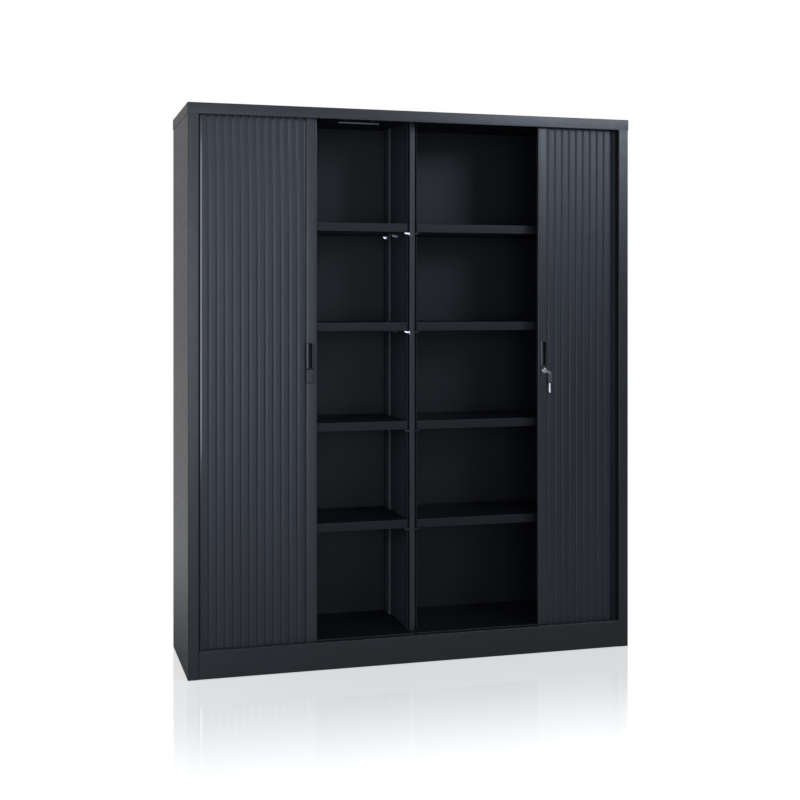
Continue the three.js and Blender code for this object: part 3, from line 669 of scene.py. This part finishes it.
def distance_from_cabinet(tree, axes):
    """Distance along the floor from the cabinet's footprint."""
    squares = []
    for axis, half in (("X", cad_high.x), ("Y", cad_high.y)):
        beyond = combine(tree, "SUBTRACT", combine(tree, "ABSOLUTE", axes[axis]), half)
        squares.append(combine(tree, "POWER", combine(tree, "MAXIMUM", beyond, 0.0), 2.0))
    return combine(tree, "SQRT", combine(tree, "ADD", *squares))


def build_floor():
    """Pale polished floor. Its mirror image fades with the distance from the cabinet, and it
    is white to the camera where no shadow falls."""
    material = bpy.data.materials.new("studio_floor")
    material.use_nodes = True
    tree = material.node_tree
    tree.nodes.clear()
    rays = add_node(tree, "ShaderNodeLightPath").outputs
    seen, glossy = rays["Is Camera Ray"], rays["Is Glossy Ray"]
    axes = axes_of(tree, add_node(tree, "ShaderNodeNewGeometry").outputs["Position"])
    away = distance_from_cabinet(tree, axes)

    albedo = run_of(tree, seen, 0.0, 1.0, floor_albedo, floor_albedo_seen)
    matt = add_node(tree, "ShaderNodeBsdfDiffuse", {"Color": albedo}).outputs[0]
    paler = run_of(tree, away, 0.0, gloss_far, floor_gloss_near, floor_gloss, True)
    backward = run_of(tree, axes["Y"], cad_low.y, behind, 0.0, 1.0, True)
    gloss = combine(tree, "MULTIPLY", combine(tree, "MULTIPLY", paler, backward), glossy)
    glow = combine(tree, "ADD", combine(tree, "MULTIPLY", seen, floor_lift), gloss)
    lift = add_node(tree, "ShaderNodeEmission", {"Strength": glow}).outputs[0]
    base = add_node(tree, "ShaderNodeAddShader", {0: matt, 1: lift}).outputs[0]

    tone = opaque([1 / (gloss_back * channel) for channel in back_tint])
    sockets = {"Color": tone, "Roughness": mirror_roughness}
    mirror = add_node(tree, "ShaderNodeBsdfAnisotropic", sockets).outputs[0]
    fading = run_of(tree, away, mirror_near, mirror_far, mirror_share, 0.0, True)
    surface = mixed(tree, combine(tree, "MULTIPLY", fading, seen), base, mirror)
    add_node(tree, "ShaderNodeOutputMaterial", {"Surface": surface})

    half = floor_size / 2
    corners = [(-half, -half), (half, -half), (half, half), (-half, half)]
    mesh = bpy.data.meshes.new("floor")
    mesh.from_pydata([(x, y, -floor_drop) for x, y in corners], [], [(0, 1, 2, 3)])
    mesh.materials.append(material)
    floor = bpy.data.objects.new("floor", mesh)
    bpy.context.scene.collection.objects.link(floor)


def build_lamps():
    """Rectangular studio lamps, hidden from the camera."""
    for name, place, target, (width, height), glow, colour, shows in lamps:
        data = bpy.data.lights.new(name, "AREA")
        data.shape = "RECTANGLE"
        data.size = width
        data.size_y = height
        data.energy = watts_for_glow * width * height * glow
        data.color = colour
        lamp = bpy.data.objects.new(name, data)
        lamp.location = place
        aim = Vector(target) - Vector(place)
        lamp.rotation_euler = aim.to_track_quat("-Z", "Y").to_euler()
        lamp.visible_camera = False
        lamp.visible_glossy = shows
        bpy.context.scene.collection.objects.link(lamp)


def build_camera():
    """The camera at the photograph's viewing angle."""
    data = bpy.data.cameras.new("camera")
    data.lens = camera_lens
    data.shift_y = camera_shift
    camera = bpy.data.objects.new("camera", data)
    camera.location = camera_place
    camera.rotation_euler = (math.radians(90), 0, -camera_azimuth)
    bpy.context.scene.collection.objects.link(camera)
    bpy.context.scene.camera = camera


bpy.context.scene.view_settings.view_transform = "Standard"
build_world()
build_floor()
build_lamps()
build_camera()


# Finishes and edges of the CAD nodes that stay

def dress(node, material, width, segments=2):
    """Gives a CAD node its finish, smooth shading and rounded edges."""
    piece = nodes[node]
    piece.data.materials.clear()
    piece.data.materials.append(material)
    for face in piece.data.polygons:
        face.use_smooth = True
    bevel(piece, width, segments)


dressed = [
    (shell_coat, sheet_edge, [f"{side}_{part}_panel" for side in sides for part in ("side", "back")]),
    (shell_coat, rail_edge, ["base_rail"]),
    (inner_painted_shade_coat, sheet_edge, ["base_deck", "top_deck", "floor_panel", "centre_partition"]),
    (inner_painted_shade_coat, sheet_edge, [f"{side}_{part}" for side in sides for part in ("liner", "false_back")]),
    (inner_painted_shade_coat, sheet_edge, [f"{side}_shelf_{level}" for side in sides for level in range(1, 5)]),
    (track_plastic, sheet_edge, [f"{side}_{end}_track" for side in sides for end in ends]),
    (black_plastic, moulded_edge, [f"{side}_{end}_shoe" for side in sides for end in ends]),
    (black_plastic, moulded_edge, [f"{end}_centre_stop" for end in ends]),
    (black_plastic, sheet_edge, ["lock_housing"]),
    (zinc_plate, sheet_edge, ["hook_bolt"]),
    (nickel_plate, key_edge, ["key"]),
    (dull_zinc, moulded_edge, ["stay_rod"]),
]
for material, edge, names in dressed:
    for name in names:
        dress(name, material, edge)
dress("key_bow", dull_nickel, moulded_edge, 3)
recoat(nodes["centre_partition"], shell_coat, lambda face: face.normal.y < -facing)
# The partition's side faces take the lighter coat: painted light
recoat(nodes["centre_partition"], partition_sides_painted_light_coat, lambda face: abs(face.normal.x) > facing)


# Route of the shutters

curtain_low, curtain_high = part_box("right_curtain")
route_front = curtain_low.y + slat_thickness / 2
route_side = curtain_high.x - slat_thickness / 2
route_back = curtain_high.y - slat_thickness / 2
bend_start = route_side - corner_radius
bend_run = corner_radius * math.pi / 2
side_run = route_back - route_front - 2 * corner_radius


def route_place(side, distance, offset):
    """A place in plan on a shutter's route. Distance runs from the middle of the cabinet
    outwards and round both corners, and the offset is positive towards the outside."""
    runs = []
    for stretch in (bend_start, bend_run, side_run, bend_run, far_away):
        runs.append(min(distance, stretch))
        distance -= runs[-1]
    front, first_bend, along, second_bend, back = runs
    angle = (first_bend + second_bend) / corner_radius
    radius = corner_radius + offset
    x = front + radius * math.sin(angle) - back
    return side * x, route_front + corner_radius + along - radius * math.cos(angle)


# Slats

def slat_section(inset=0.0):
    """Section of one slat as (run, offset): a crowned face between round shoulders, short
    legs, and a tongue on the far side that closes the joint to the next slat."""
    face = slat_thickness / 2 - inset
    edge = slat_joint + slat_shoulder
    near = [(edge - run, face - fall) for run, fall in reversed(shoulder(slat_shoulder, slat_drop))]
    far = [(slat_pitch - run, offset) for run, offset in reversed(near)]
    valley = face - slat_drop
    foot = valley - slat_wall
    last = slat_pitch - slat_joint
    under = [
        (last, foot - slat_leg),
        (last + slat_tongue, foot - slat_leg),
        (last + slat_tongue, foot - slat_leg - slat_wall),
        (last - slat_wall, foot - slat_leg - slat_wall),
        (last - slat_wall, valley - slat_wall / 2),
        (slat_pitch - slat_shoulder, face - slat_wall),
        (slat_shoulder, face - slat_wall),
        (slat_joint + slat_wall, valley - slat_wall / 2),
        (slat_joint + slat_wall, foot),
        (slat_joint, foot),
    ]
    return near + far + under


def straight_slat(side, start, inset=0.0):
    """Points and faces of a slat on the front run, from its near edge at start."""
    section = [route_place(side, min(start, bend_start - slat_pitch) + run, offset)
               for run, offset in slat_section(inset)]
    shift = side * max(0.0, start - (bend_start - slat_pitch))
    return prism([(x + shift, y) for x, y in section], curtain_low.z, curtain_high.z)


def chord_slat(side, start):
    """Points and faces of a rigid slat whose two edges lie on the route."""
    a = Vector(route_place(side, start, 0))
    b = Vector(route_place(side, start + slat_pitch, 0))
    way = (b - a).normalized()
    out = Vector((way.y, -way.x)) * side
    section = []
    for run, offset in slat_section():
        place = a + way * run * (b - a).length / slat_pitch + out * offset
        section.append((place.x, place.y))
    return prism(section, curtain_low.z, curtain_high.z)


def follow(piece):
    """Bakes the place of a piece into its mesh."""
    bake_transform(piece)


def build_shutter(word):
    """Shutter of rigid slats. Each slat's share of its slide is worked out but not used. The slats in view
    at rest take places of the closed shutter, and slats that start behind them fill its other places."""
    side = sides[word]
    slide = next(joint for joint in frame["joints"] if joint["name"] == f"{word}_door_slide")
    closing, opening = -slide["range_m"][0], slide["range_m"][1]
    first = inner_and_outer(f"{word}_leading_bar")[1] + seat_gap
    moving = int((bend_start + last_slat_share * slat_pitch - first) / slat_pitch)
    grid = [first - closing + slat_pitch * (k + 0.5) for k in range(closed_count)]
    free = list(range(closed_count))

    for i in range(moving):
        start = first + slat_pitch * i
        centre = start + slat_pitch / 2
        slat = add_piece(f"{word}_slat_{i + 1:02d}", *straight_slat(side, start), slat_coat, "shutter")
        choices = []
        for k in free:
            share = (centre - grid[k]) / closing
            opened = centre + share * opening
            if 0 <= share <= 1 + share_slack:
                choices.append((abs(opened - route_side + pocket_inset / 4), k, share))
        if i == 0:
            choices = [(0, 0, 1.0)]
            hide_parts(f"{word}_curtain")
        k, share = min(choices)[1:]
        free.remove(k)
        follow(slat)

    number = 0
    while free:
        k = free[0]
        ribs = 2 if k + 1 in free else 1
        free = free[ribs:]
        closed = grid[k] + slat_pitch * (ribs - 1) / 2
        pocket = route_side - (pocket_inset_pair if ribs == 2 else pocket_inset) / 4
        share = (pocket - closed) / (closing + opening)
        start = closed + share * closing - slat_pitch * ribs / 2
        solids = [straight_slat(side, start + slat_pitch * rib, filler_inset) for rib in range(ribs)]
        number += 1
        name = f"{word}_rear_slat_{number:02d}"
        slat = add_piece(name, *together(*solids), slat_coat, "shutter")
        follow(slat)

    turned = [chord_slat(side, first + slat_pitch * i) for i in range(moving, slat_count)]
    add_piece(f"{word}_pocket_slats", *together(*turned), slat_coat, "shutter", "carcass")


for word in sides:
    build_shutter(word)


# Leading bars

def bar_section(side, leading, front, back):
    """Plan of a leading bar: a round nose at the leading edge, a face set back a little, a
    shoulder, and a groove where the first slat hooks on."""
    face = front + nose_step
    shoulder_end = bar_width - bar_groove
    places = [(0.0, back - nose_radius)]
    for cosine, sine in arc(0, 90, shoulder_steps):
        places.append((nose_radius * (1 - cosine), front + nose_radius * (1 - sine)))
    places += [(nose_width, front), (nose_width + nose_step, face)]
    for run, fall in shoulder(bar_shoulder, bar_shoulder_drop):
        places.append((shoulder_end - bar_shoulder + run, face + fall))
    places += [
        (shoulder_end, front + bar_groove_depth), (bar_width, front + bar_groove_depth),
        (bar_width, back - nose_radius), (bar_width - nose_radius, back), (nose_radius, back),
    ]
    return [(side * (leading + run), y) for run, y in places]


def build_bar(word):
    """Leading bar: a hollow profile with a window for the plates and a mouth for the hook."""
    side = sides[word]
    low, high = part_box(f"{word}_leading_bar")
    leading = inner_and_outer(f"{word}_leading_bar")[0]
    profile = prism(bar_section(side, leading, low.y, high.y), low.z, high.z)
    bar = add_piece(f"{word}_bar_profile", *profile, bar_coat, "shutter")
    walls = sorted((side * (leading + bar_wall), side * (leading + bar_width - bar_groove - bar_wall)))
    hollow = block(
        (walls[0], low.y + nose_step + bar_shoulder_drop + bar_wall, low.z - overrun),
        (walls[1], high.y - bar_wall, high.z + overrun),
    )
    centre = side * (leading + plate_inset + plate_width / 2)
    window_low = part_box("keeper_block")[1].z - cup_wall - lock_body_height - seat_gap
    window_high = middle_of(f"{word}_handle_cup").z + recess_height / 2 + cup_wall + seat_gap
    window = block(
        (centre - window_width / 2, low.y - overrun, window_low),
        (centre + window_width / 2, high.y + overrun, window_high),
    )
    hook_low, hook_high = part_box("hook_bolt")
    slot_middle = middle_of("hook_bolt").y
    mouth_x = sorted((side * (leading - overrun), side * (leading + bar_wall + overrun)))
    mouth = block(
        (mouth_x[0], slot_middle - hook_slot_width / 2, hook_low.z + overrun),
        (mouth_x[1], slot_middle + hook_slot_width / 2, hook_high.z + overrun),
    )
    carve(bar, [hollow, window, mouth])
    sharpen(bar)
    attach(bar, f"{word}_door")
    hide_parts(f"{word}_leading_bar")


for word in sides:
    build_bar(word)


# Handle recesses, keeper and lock

def plate_levels(low, high, half_body, corner, rise):
    """Levels of a loft from a plate's flat front round its flank to the body behind it."""
    half_width, half_height = plate_width / 2, (high.z - low.z) / 2
    back = low.y + plate_thickness + rim_width
    levels = []
    for across, up, depth in plate_flank:
        width, height = half_width - across * plate_thickness, half_height - up * plate_thickness
        levels.append((width, height, plate_corner, low.y + depth * plate_thickness, 0))
    return levels + [
        (half_width, half_height, plate_corner, back, 0),
        (body_half_width, half_body, corner, back, rise),
        (body_half_width, half_body, corner, high.y, rise),
    ]


def build_cup(word):
    """Handle: a plate with a raised rim round a deep finger recess, and the recess's back."""
    node = f"{word}_handle_cup"
    low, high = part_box(node)
    middle = (low + high) / 2
    half_width = recess_width / 2
    recess = recess_height / 2
    floor = high.y - cup_wall
    rim = low.y - rim_lift
    edge = rim_width / 4
    steps = [
        (-2, -2, floor), (0, 0, floor - 2 * edge), (0, 0, low.y + edge),
        (1, 1, rim + edge / 2), (2, 2, rim), (3, 2.5, rim),
    ]
    levels = [
        (half_width + across * edge, recess + up * edge, recess_corner, depth, 0)
        for across, up, depth in steps
    ]
    levels += plate_levels(low, high, recess + cup_wall, recess_corner, 0)[1:]
    solid = loft(levels, middle.x, middle.z)
    cup = add_piece(f"{word}_finger_plate", *solid, plate_plastic, "plastic", degrees=moulded_angle)
    # Painted shade: the faces inside the finger recess take the darker moulding
    recoat(cup, painted_shade_plastic, lambda face: (
        face.center.y > low.y
        and abs(face.center.x - middle.x) <= half_width
        and abs(face.center.z - middle.z) <= recess
    ))
    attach(cup, f"{word}_door")
    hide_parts(node)


def build_keeper():
    """Keeper plate with the block behind it and its three screw holes."""
    low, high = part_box("keeper_block")
    middle = (low + high) / 2
    half_body = lock_body_height / 2
    rise = high.z - cup_wall - half_body - middle.z
    levels = plate_levels(low, high, half_body, plate_corner, rise)
    keeper = add_piece("keeper_plate", *loft(levels, middle.x, middle.z), black_plastic, "plastic")
    places = [(middle.x + x, middle.z + z) for x, z in keeper_holes]
    profile = [(keeper_hole_radius, low.y + keeper_hole_depth), (keeper_hole_radius, low.y - overrun)]
    carve(keeper, [lathe(profile, hole_steps, (x, 0, z), "y") for x, z in places])
    sharpen(keeper, moulded_angle)
    # Painted shade: the faces in the screw holes take the darker moulding
    recoat(keeper, painted_shade_plastic, lambda face: (
        face.center.y > low.y + seat_gap
        and min(math.hypot(face.center.x - x, face.center.z - z) for x, z in places) < hole_reach
    ))
    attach(keeper, "left_door")
    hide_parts("keeper_block")


def build_lock():
    """Nickel ring round the lock, and the plug with its keyway."""
    middle = middle_of("lock_cylinder")
    plug_low, plug_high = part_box("lock_cylinder")
    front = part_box("lock_housing")[0].y
    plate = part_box("keeper_block")[0].y
    outer = bezel_radius + bezel_skin
    inner = bore_radius + bezel_skin
    foot = outer - 2 * bezel_skin / 3
    crown = (outer + inner) / 2
    half = (outer - inner) / 2
    profile = [(outer, plate - bezel_skin)]
    for cosine, sine in arc(0, 180, bezel_steps):
        profile.append((crown + half * cosine, front - bezel_skin / 3 - bezel_rise * sine))
    profile += [(foot, front - bezel_skin / 6), (foot, plate - bezel_skin)]
    bezel = lathe(profile, lock_steps, (middle.x, 0, middle.z), "y", True)
    add_piece("lock_bezel", *bezel, bright_nickel, "nickel", "right_door", turned_angle)

    profile = [
        (cylinder_radius - cylinder_chamfer, plug_low.y),
        (cylinder_radius, plug_low.y + cylinder_chamfer),
        (cylinder_radius, plug_high.y),
    ]
    solid = lathe(profile, lock_steps, (middle.x, 0, middle.z), "y")
    plug = add_piece("lock_plug", *solid, nickel_plate, "nickel")
    outline = []
    for across, up in ((-1, -1), (1, -1), (1, 1), (-1, 1)):
        x, z = across * keyway_width / 2, up * keyway_height / 2
        outline.append((
            middle.x + x * math.cos(key_turn) + z * math.sin(key_turn),
            middle.z - x * math.sin(key_turn) + z * math.cos(key_turn),
        ))
    carve(plug, [prism(outline, plug_low.y - overrun, plug_low.y + keyway_depth, "y")])
    sharpen(plug)
    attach(plug, "lock_cylinder")
    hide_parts("lock_cylinder")


for word in sides:
    build_cup(word)
build_keeper()
build_lock()


# Slotted uprights and shelf clips

def folded_sheet(name, plan, rows, holes, material, slot):
    """Sheet folded along a plan line between rows of heights, with a hole in each cell of
    holes, given as (column, row)."""
    points = [(x, y, z) for z in rows for x, y in plan]
    count = len(plan)
    faces = []
    for row in range(len(rows) - 1):
        for column in range(count - 1):
            if (column, row) not in holes:
                a = row * count + column
                faces.append((a, a + 1, a + count + 1, a + count))
    return add_piece(name, points, faces, material, slot)


def clip(carrier, way, reach, near, far, top, drop):
    """Pressed shelf clip: a ledge, a gusset at its front and a tab against its carrier."""
    half = clip_sheet / 2
    x0, x1 = carrier + way * half, carrier + way * reach
    y0, y1 = near + half, far
    z = top - half
    heel = carrier + way * clip_heel
    skew = clip_skew * abs(x1 - x0)
    points = [
        (x0, y0, z), (x1, y0 + skew, z), (x1, y1, z), (x0, y1, z),
        (x0, y0, top - clip_height), (x0, y1, top - clip_height),
        (x1, y0 + skew, z - min(clip_nose, drop / 2)),
        (heel, y0 + clip_skew * abs(heel - x0), top - drop),
        (x0, y0, top - drop),
    ]
    faces = [(0, 1, 2, 3), (0, 3, 5, 4, 8), (0, 8, 7, 6, 1)]
    return points, faces


clip_tops = [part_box(f"left_shelf_{level}")[0].z - seat_gap for level in range(1, 5)]

# Each row of clips: its reach, its width, its drop, how many of its lower clips take the dark
# plating as painted shade, and the plate of the left bay's upper ones (duller in the middle row, as painted
# shade)
clip_rows = {
    "front": (0.019, front_clip_width, 0.0065, 2, zinc_plate),
    "middle": (upright_height + clip_reach, clip_width, clip_drop, 3, dull_zinc),
    "rear": (clip_reach, clip_width, clip_drop, 3, zinc_plate),
}


def hang_clips(word, place, row, carrier, way, middle):
    """Clips of one row under the shelves, about a middle in depth."""
    reach, width, drop, shaded_count, plate = clip_rows[row]
    near, far = middle - width / 2, middle + width / 2
    for part, tops in (("lower", clip_tops[:shaded_count]), ("upper", clip_tops[shaded_count:])):
        # Only the left bay's upper clips keep their plate; the others take the dark plating as painted
        # shade
        coat = plate if (word, part) == ("left", "upper") else painted_shade_zinc
        clips = [clip(carrier, way, reach, near, far, top, drop) for top in tops]
        hold = add_piece(f"{word}_{place}_{row}_{part}_clips", *together(*clips), coat, "zinc")
        thicken(hold, clip_sheet, sheet_edge)
        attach(hold, "carcass")


def carrier_of(word, place, row):
    """Where an upright stands on the partition or the lining, and the way into the bay."""
    near, far = inner_and_outer(f"{word}_bay_{place}_{row}_upright")
    side = sides[word]
    return (side * near, side) if place == "inner" else (side * far, -side)


def build_upright(word, place, row):
    """Slotted upright of folded sheet with its shelf clips."""
    node = f"{word}_bay_{place}_{row}_upright"
    low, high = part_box(node)
    carrier, way = carrier_of(word, place, row)
    foot = carrier + way * sheet / 2
    web = carrier + way * (upright_height - sheet / 2)
    front, rear = low.y + sheet / 2, high.y - sheet / 2
    middle = (low.y + high.y) / 2
    turned = [
        (web - way * upright_bend * (1 - cosine), upright_bend * (sine - 1))
        for cosine, sine in arc(0, 90, bend_steps)[1:]
    ]
    start = [(web, front)]
    if row == "rear":
        start = [(foot, front), *((x, front - y) for x, y in reversed(turned)), (web, front + upright_bend)]
    plan = [
        *start, (web, middle - slot_width / 2), (web, middle + slot_width / 2),
        (web, rear - upright_bend), *((x, rear + y) for x, y in turned), (foot, rear),
    ]

    first = clip_tops[0] - clip_height / 2
    k = -int((first - low.z - slot_length) / slot_pitch)
    rows = [low.z]
    holes = set()
    while first + slot_pitch * k + slot_length < high.z:
        holes.add((len(start), len(rows)))
        rows += [first + slot_pitch * k - slot_length / 2, first + slot_pitch * k + slot_length / 2]
        k += 1
    rows.append(high.z)
    name = f"{word}_{place}_{row}_slotted_upright"
    upright = folded_sheet(name, plan, rows, holes, upright_coats_lit_and_shaded[row], "inner")
    thicken(upright, sheet)
    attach(upright, "carcass")
    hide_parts(node)

    if row == "front":
        hang_clips(word, place, row, carrier, way, low.y - seat_gap - front_clip_width / 2)
    else:
        hang_clips(word, place, row, carrier + way * upright_height, way, middle)


for word in sides:
    for place in ("outer", "inner"):
        for row in ("front", "rear"):
            build_upright(word, place, row)
        hang_clips(word, place, "middle", *carrier_of(word, place, "front"), middle_clip_place)


# Small parts of the carcass

def build_rail_tabs():
    """Tabs that join the ends of the base rail to the stiles from behind."""
    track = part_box("left_bottom_track")[0]
    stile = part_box("right_side_panel")[0].x
    back = track.y - sheet
    solids = []
    for side in sides.values():
        left, right = sorted((side * (stile - tab_width / 2), side * (stile + tab_width / 2)))
        outline = rounded_rectangle(left, tab_inset, right, track.z + tab_inset, tab_inset * 2)
        solids.append(prism(outline, back - seat_gap, back + sheet - 2 * seat_gap, "y"))
    tabs = add_piece("rail_tabs", *together(*solids), shell_coat, "shell")
    bevel(tabs, blade_edge)
    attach(tabs, "carcass")


def build_guide_strips():
    """Strips behind the stiles that the shutters pass: glossy on the left, matt on the right.
    A gap parts them from the stile's edge; the bed seen in it and the right strip take the darker moulding
    as painted shade."""
    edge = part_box("right_side_panel")[0].x
    low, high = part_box("left_bottom_track")[1].z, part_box("left_top_track")[0].z
    strips = {"left": (strip_width, glossy_plastic), "right": (wide_strip_width, painted_shade_plastic)}
    back = curtain_low.y - strip_clearance
    bed = back - strip_web
    for word, side in sides.items():
        width, coat = strips[word]
        inner = edge - strip_gap - width
        for part, outer, near, far, material in (
            ("bed", edge - seat_gap, bed, back, painted_shade_plastic),
            ("strip", edge - strip_gap, back - strip_depth, bed, coat),
        ):
            solid = block((side * inner, near, low), (side * outer, far, high))
            piece = add_piece(f"{word}_guide_{part}", *solid, material, "plastic")
            bevel(piece, strip_edge)
            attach(piece, "carcass")


def build_rivets():
    """Dome rivets along the rear flanges and the seam of the back."""
    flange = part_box("right_side_panel")[1]
    panel_low, panel_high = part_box("right_back_panel")
    lines = [(flange.x - rivet_inset, flange.y), (rivet_inset, panel_high.y)]
    span = panel_high.z - panel_low.z
    profile = [(rivet_radius, 0)]
    profile += [(rivet_radius * cosine, rivet_height * sine) for cosine, sine in arc(*rivet_dome)]
    solids = []
    for side in sides.values():
        for x, y in lines:
            for k in range(rivets_up):
                z = panel_low.z + span * (k + 0.5) / rivets_up
                solids.append(lathe(profile, hole_steps, (side * x, y, z), "y"))
    add_piece("back_rivets", *together(*solids), shell_coat, "shell", "carcass", turned_angle)


def build_foot(node):
    """Levelling foot: a rubber-faced pad, a hexagon nut and a threaded stem."""
    low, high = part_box(node)
    middle = (low + high) / 2
    base = (middle.x, middle.y, low.z)
    edge = pad_height / 8
    profile = [
        (pad_radius - edge, 0), (pad_radius, edge), (pad_radius, 3 * edge),
        (pad_radius - 2 * edge, 4.5 * edge), (pad_radius * 0.6, 6 * edge),
        (stem_radius * 1.4, pad_height), (stem_radius * 0.6, pad_height),
    ]
    solid = lathe(profile, pad_steps, base)
    pad = add_piece(f"{node}_pad", *solid, foot_rubber, "plastic", node, foot_angle)
    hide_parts(node)

    outline = [(middle.x + nut_radius * a, middle.y + nut_radius * b) for a, b in circle(6)]
    seat = low.z + pad_height + seat_gap
    nut = add_piece(f"{node}_nut", *prism(outline, seat, seat + nut_height), dull_zinc, "zinc")
    bevel(nut, nut_edge)
    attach(nut, node)

    start, top = pad_height * 0.8, high.z - low.z
    core = stem_radius - thread_depth
    profile = [(core, start)]
    for k in range(int((top - start - thread_pitch) / thread_pitch)):
        z = start + thread_pitch * (k + 0.5)
        profile += [(stem_radius, z), (core, z + thread_pitch / 2)]
    profile += [(core, top - thread_depth), (stem_radius / 2, top)]
    add_piece(f"{node}_stem", *lathe(profile, stem_steps, base), dull_zinc, "zinc", node, foot_angle)


def build_rod_knob():
    """Round knob on the free end of the rod under the top."""
    low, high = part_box("stay_rod")
    radius = (high.y - low.y) / 2
    centre = (high.x, (low.y + high.y) / 2, low.z + radius)
    profile = [(across * radius, along * radius) for across, along in knob_profile]
    knob = lathe(profile, knob_steps, centre, "x")
    add_piece("rod_knob", *knob, dull_zinc, "zinc", "carcass", moulded_angle)


def build_lid():
    """Folded lid: a top with a skirt, rounded at the folds and open below."""
    low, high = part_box("top_cap")
    lid = add_piece("lid", *block(low, high), shell_coat, "shell")
    work = bmesh.new()
    work.from_mesh(lid.data)
    under = [face for face in work.faces if face.normal.z < -facing]
    bmesh.ops.delete(work, geom=under, context="FACES_ONLY")
    folds = [edge for edge in work.edges if len(edge.link_faces) == 2]
    bmesh.ops.bevel(work, geom=folds, offset=lid_edge, segments=lid_steps, affect="EDGES", profile=0.5)
    work.to_mesh(lid.data)
    work.free()
    sharpen(lid)
    skin = lid.modifiers.new("skin", "SOLIDIFY")
    skin.thickness = lid_sheet
    skin.offset = -1
    weigh_normals(lid, True)
    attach(lid, "carcass")
    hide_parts("top_cap")


build_rail_tabs()
build_guide_strips()
build_rivets()
for place in ("front_left", "front_right", "rear_left", "rear_right"):
    build_foot(f"{place}_foot")
build_rod_knob()
build_lid()


# Keys

def tube(path, radius, steps):
    """Points and faces of a round wire along a path that stays near one plane across X."""
    points = []
    for i, place in enumerate(path):
        way = (path[min(len(path) - 1, i + 1)] - path[max(0, i - 1)]).normalized()
        across = way.cross(Vector((1, 0, 0))).normalized()
        other = way.cross(across)
        points += [place + (across * cosine + other * sine) * radius for cosine, sine in circle(steps)]
    return points, skin_of(len(path), steps)


def build_key_ring():
    """Split ring: a wire wound twice, its turns side by side."""
    centre = middle_of("key_ring")
    steps = ring_turns * ring_steps
    path = []
    for step, (cosine, sine) in enumerate(arc(0, 360 * ring_turns, steps)):
        along = (step / steps - 0.5) * ring_pitch
        path.append(centre + Vector((along, ring_radius * sine, ring_radius * cosine)))
    wire = tube(path, ring_wire / 2, wire_sides)
    ring = add_piece("split_ring", *wire, nickel_plate, "nickel", "key_ring")
    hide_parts("key_ring")


def build_spare_grip(low, high, middle, shoulder_z):
    """Moulded head and neck of the spare key, with the hole for the ring."""
    half = spare_neck_width / 2
    head_z = high.z - spare_head_radius
    reach = math.degrees(math.asin(half / spare_head_radius))
    outline = [
        (middle.x + spare_head_radius * cosine, head_z + spare_head_radius * sine)
        for cosine, sine in arc(reach - 90, 270 - reach, spare_head_steps)
    ]
    outline += [(middle.x - half, shoulder_z), (middle.x + half, shoulder_z)]
    grip = add_piece("spare_key_grip", *prism(outline, low.y, high.y, "y"), grip_plastic, "plastic")
    hole_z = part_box("key_ring")[0].z + 2 * ring_wire - hole_radius + hole_clearance
    profile = [(hole_radius, -hole_depth), (hole_radius, hole_depth)]
    carve(grip, [lathe(profile, key_hole_steps, (middle.x, middle.y, hole_z), "y")])
    bevel(grip, strip_edge, 3)
    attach(grip, "spare_key")
    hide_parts("spare_key")


def build_spare_blade(low, middle, shoulder_z):
    """Plated blade of the spare key, with its cuts and a milled flank."""
    half = spare_blade_width / 2
    thick = spare_blade_thickness / 2
    root = shoulder_z + spare_blade_seat
    run = spare_blade_length / (len(key_cuts) + 2)
    outline = [
        (middle.x - half, root), (middle.x - half, low.z + half), (middle.x, low.z),
        (middle.x + half, low.z + half),
    ]
    for i, depth in enumerate(reversed(key_cuts)):
        z = low.z + half + run * (i + 0.5)
        cut = middle.x + half * (1 - depth * 2)
        outline += [(cut, z + run * cut_start), (cut, z + run * cut_end)]
        outline.append((middle.x + half * tooth_width, z + run))
    outline.append((middle.x + half, root))
    solid = prism(outline, middle.y - thick, middle.y + thick, "y")
    blade = add_piece("spare_key_blade", *solid, bright_nickel, "nickel")
    left, right = middle.x - half * spare_flank_start, middle.x + half * spare_flank_end
    front = middle.y - thick
    section = [
        (left, front - overrun), (right, front - overrun), (right, front),
        (left, front + 2 * thick * spare_flank_depth),
    ]
    carve(blade, [prism(section, low.z - overrun, shoulder_z - seat_gap)])
    bevel(blade, blade_edge)
    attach(blade, "spare_key")


build_key_ring()
spare_low, spare_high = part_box("spare_key")
spare_middle = (spare_low + spare_high) / 2
spare_shoulder = spare_low.z + spare_blade_length
build_spare_grip(spare_low, spare_high, spare_middle, spare_shoulder)
build_spare_blade(spare_low, spare_middle, spare_shoulder)
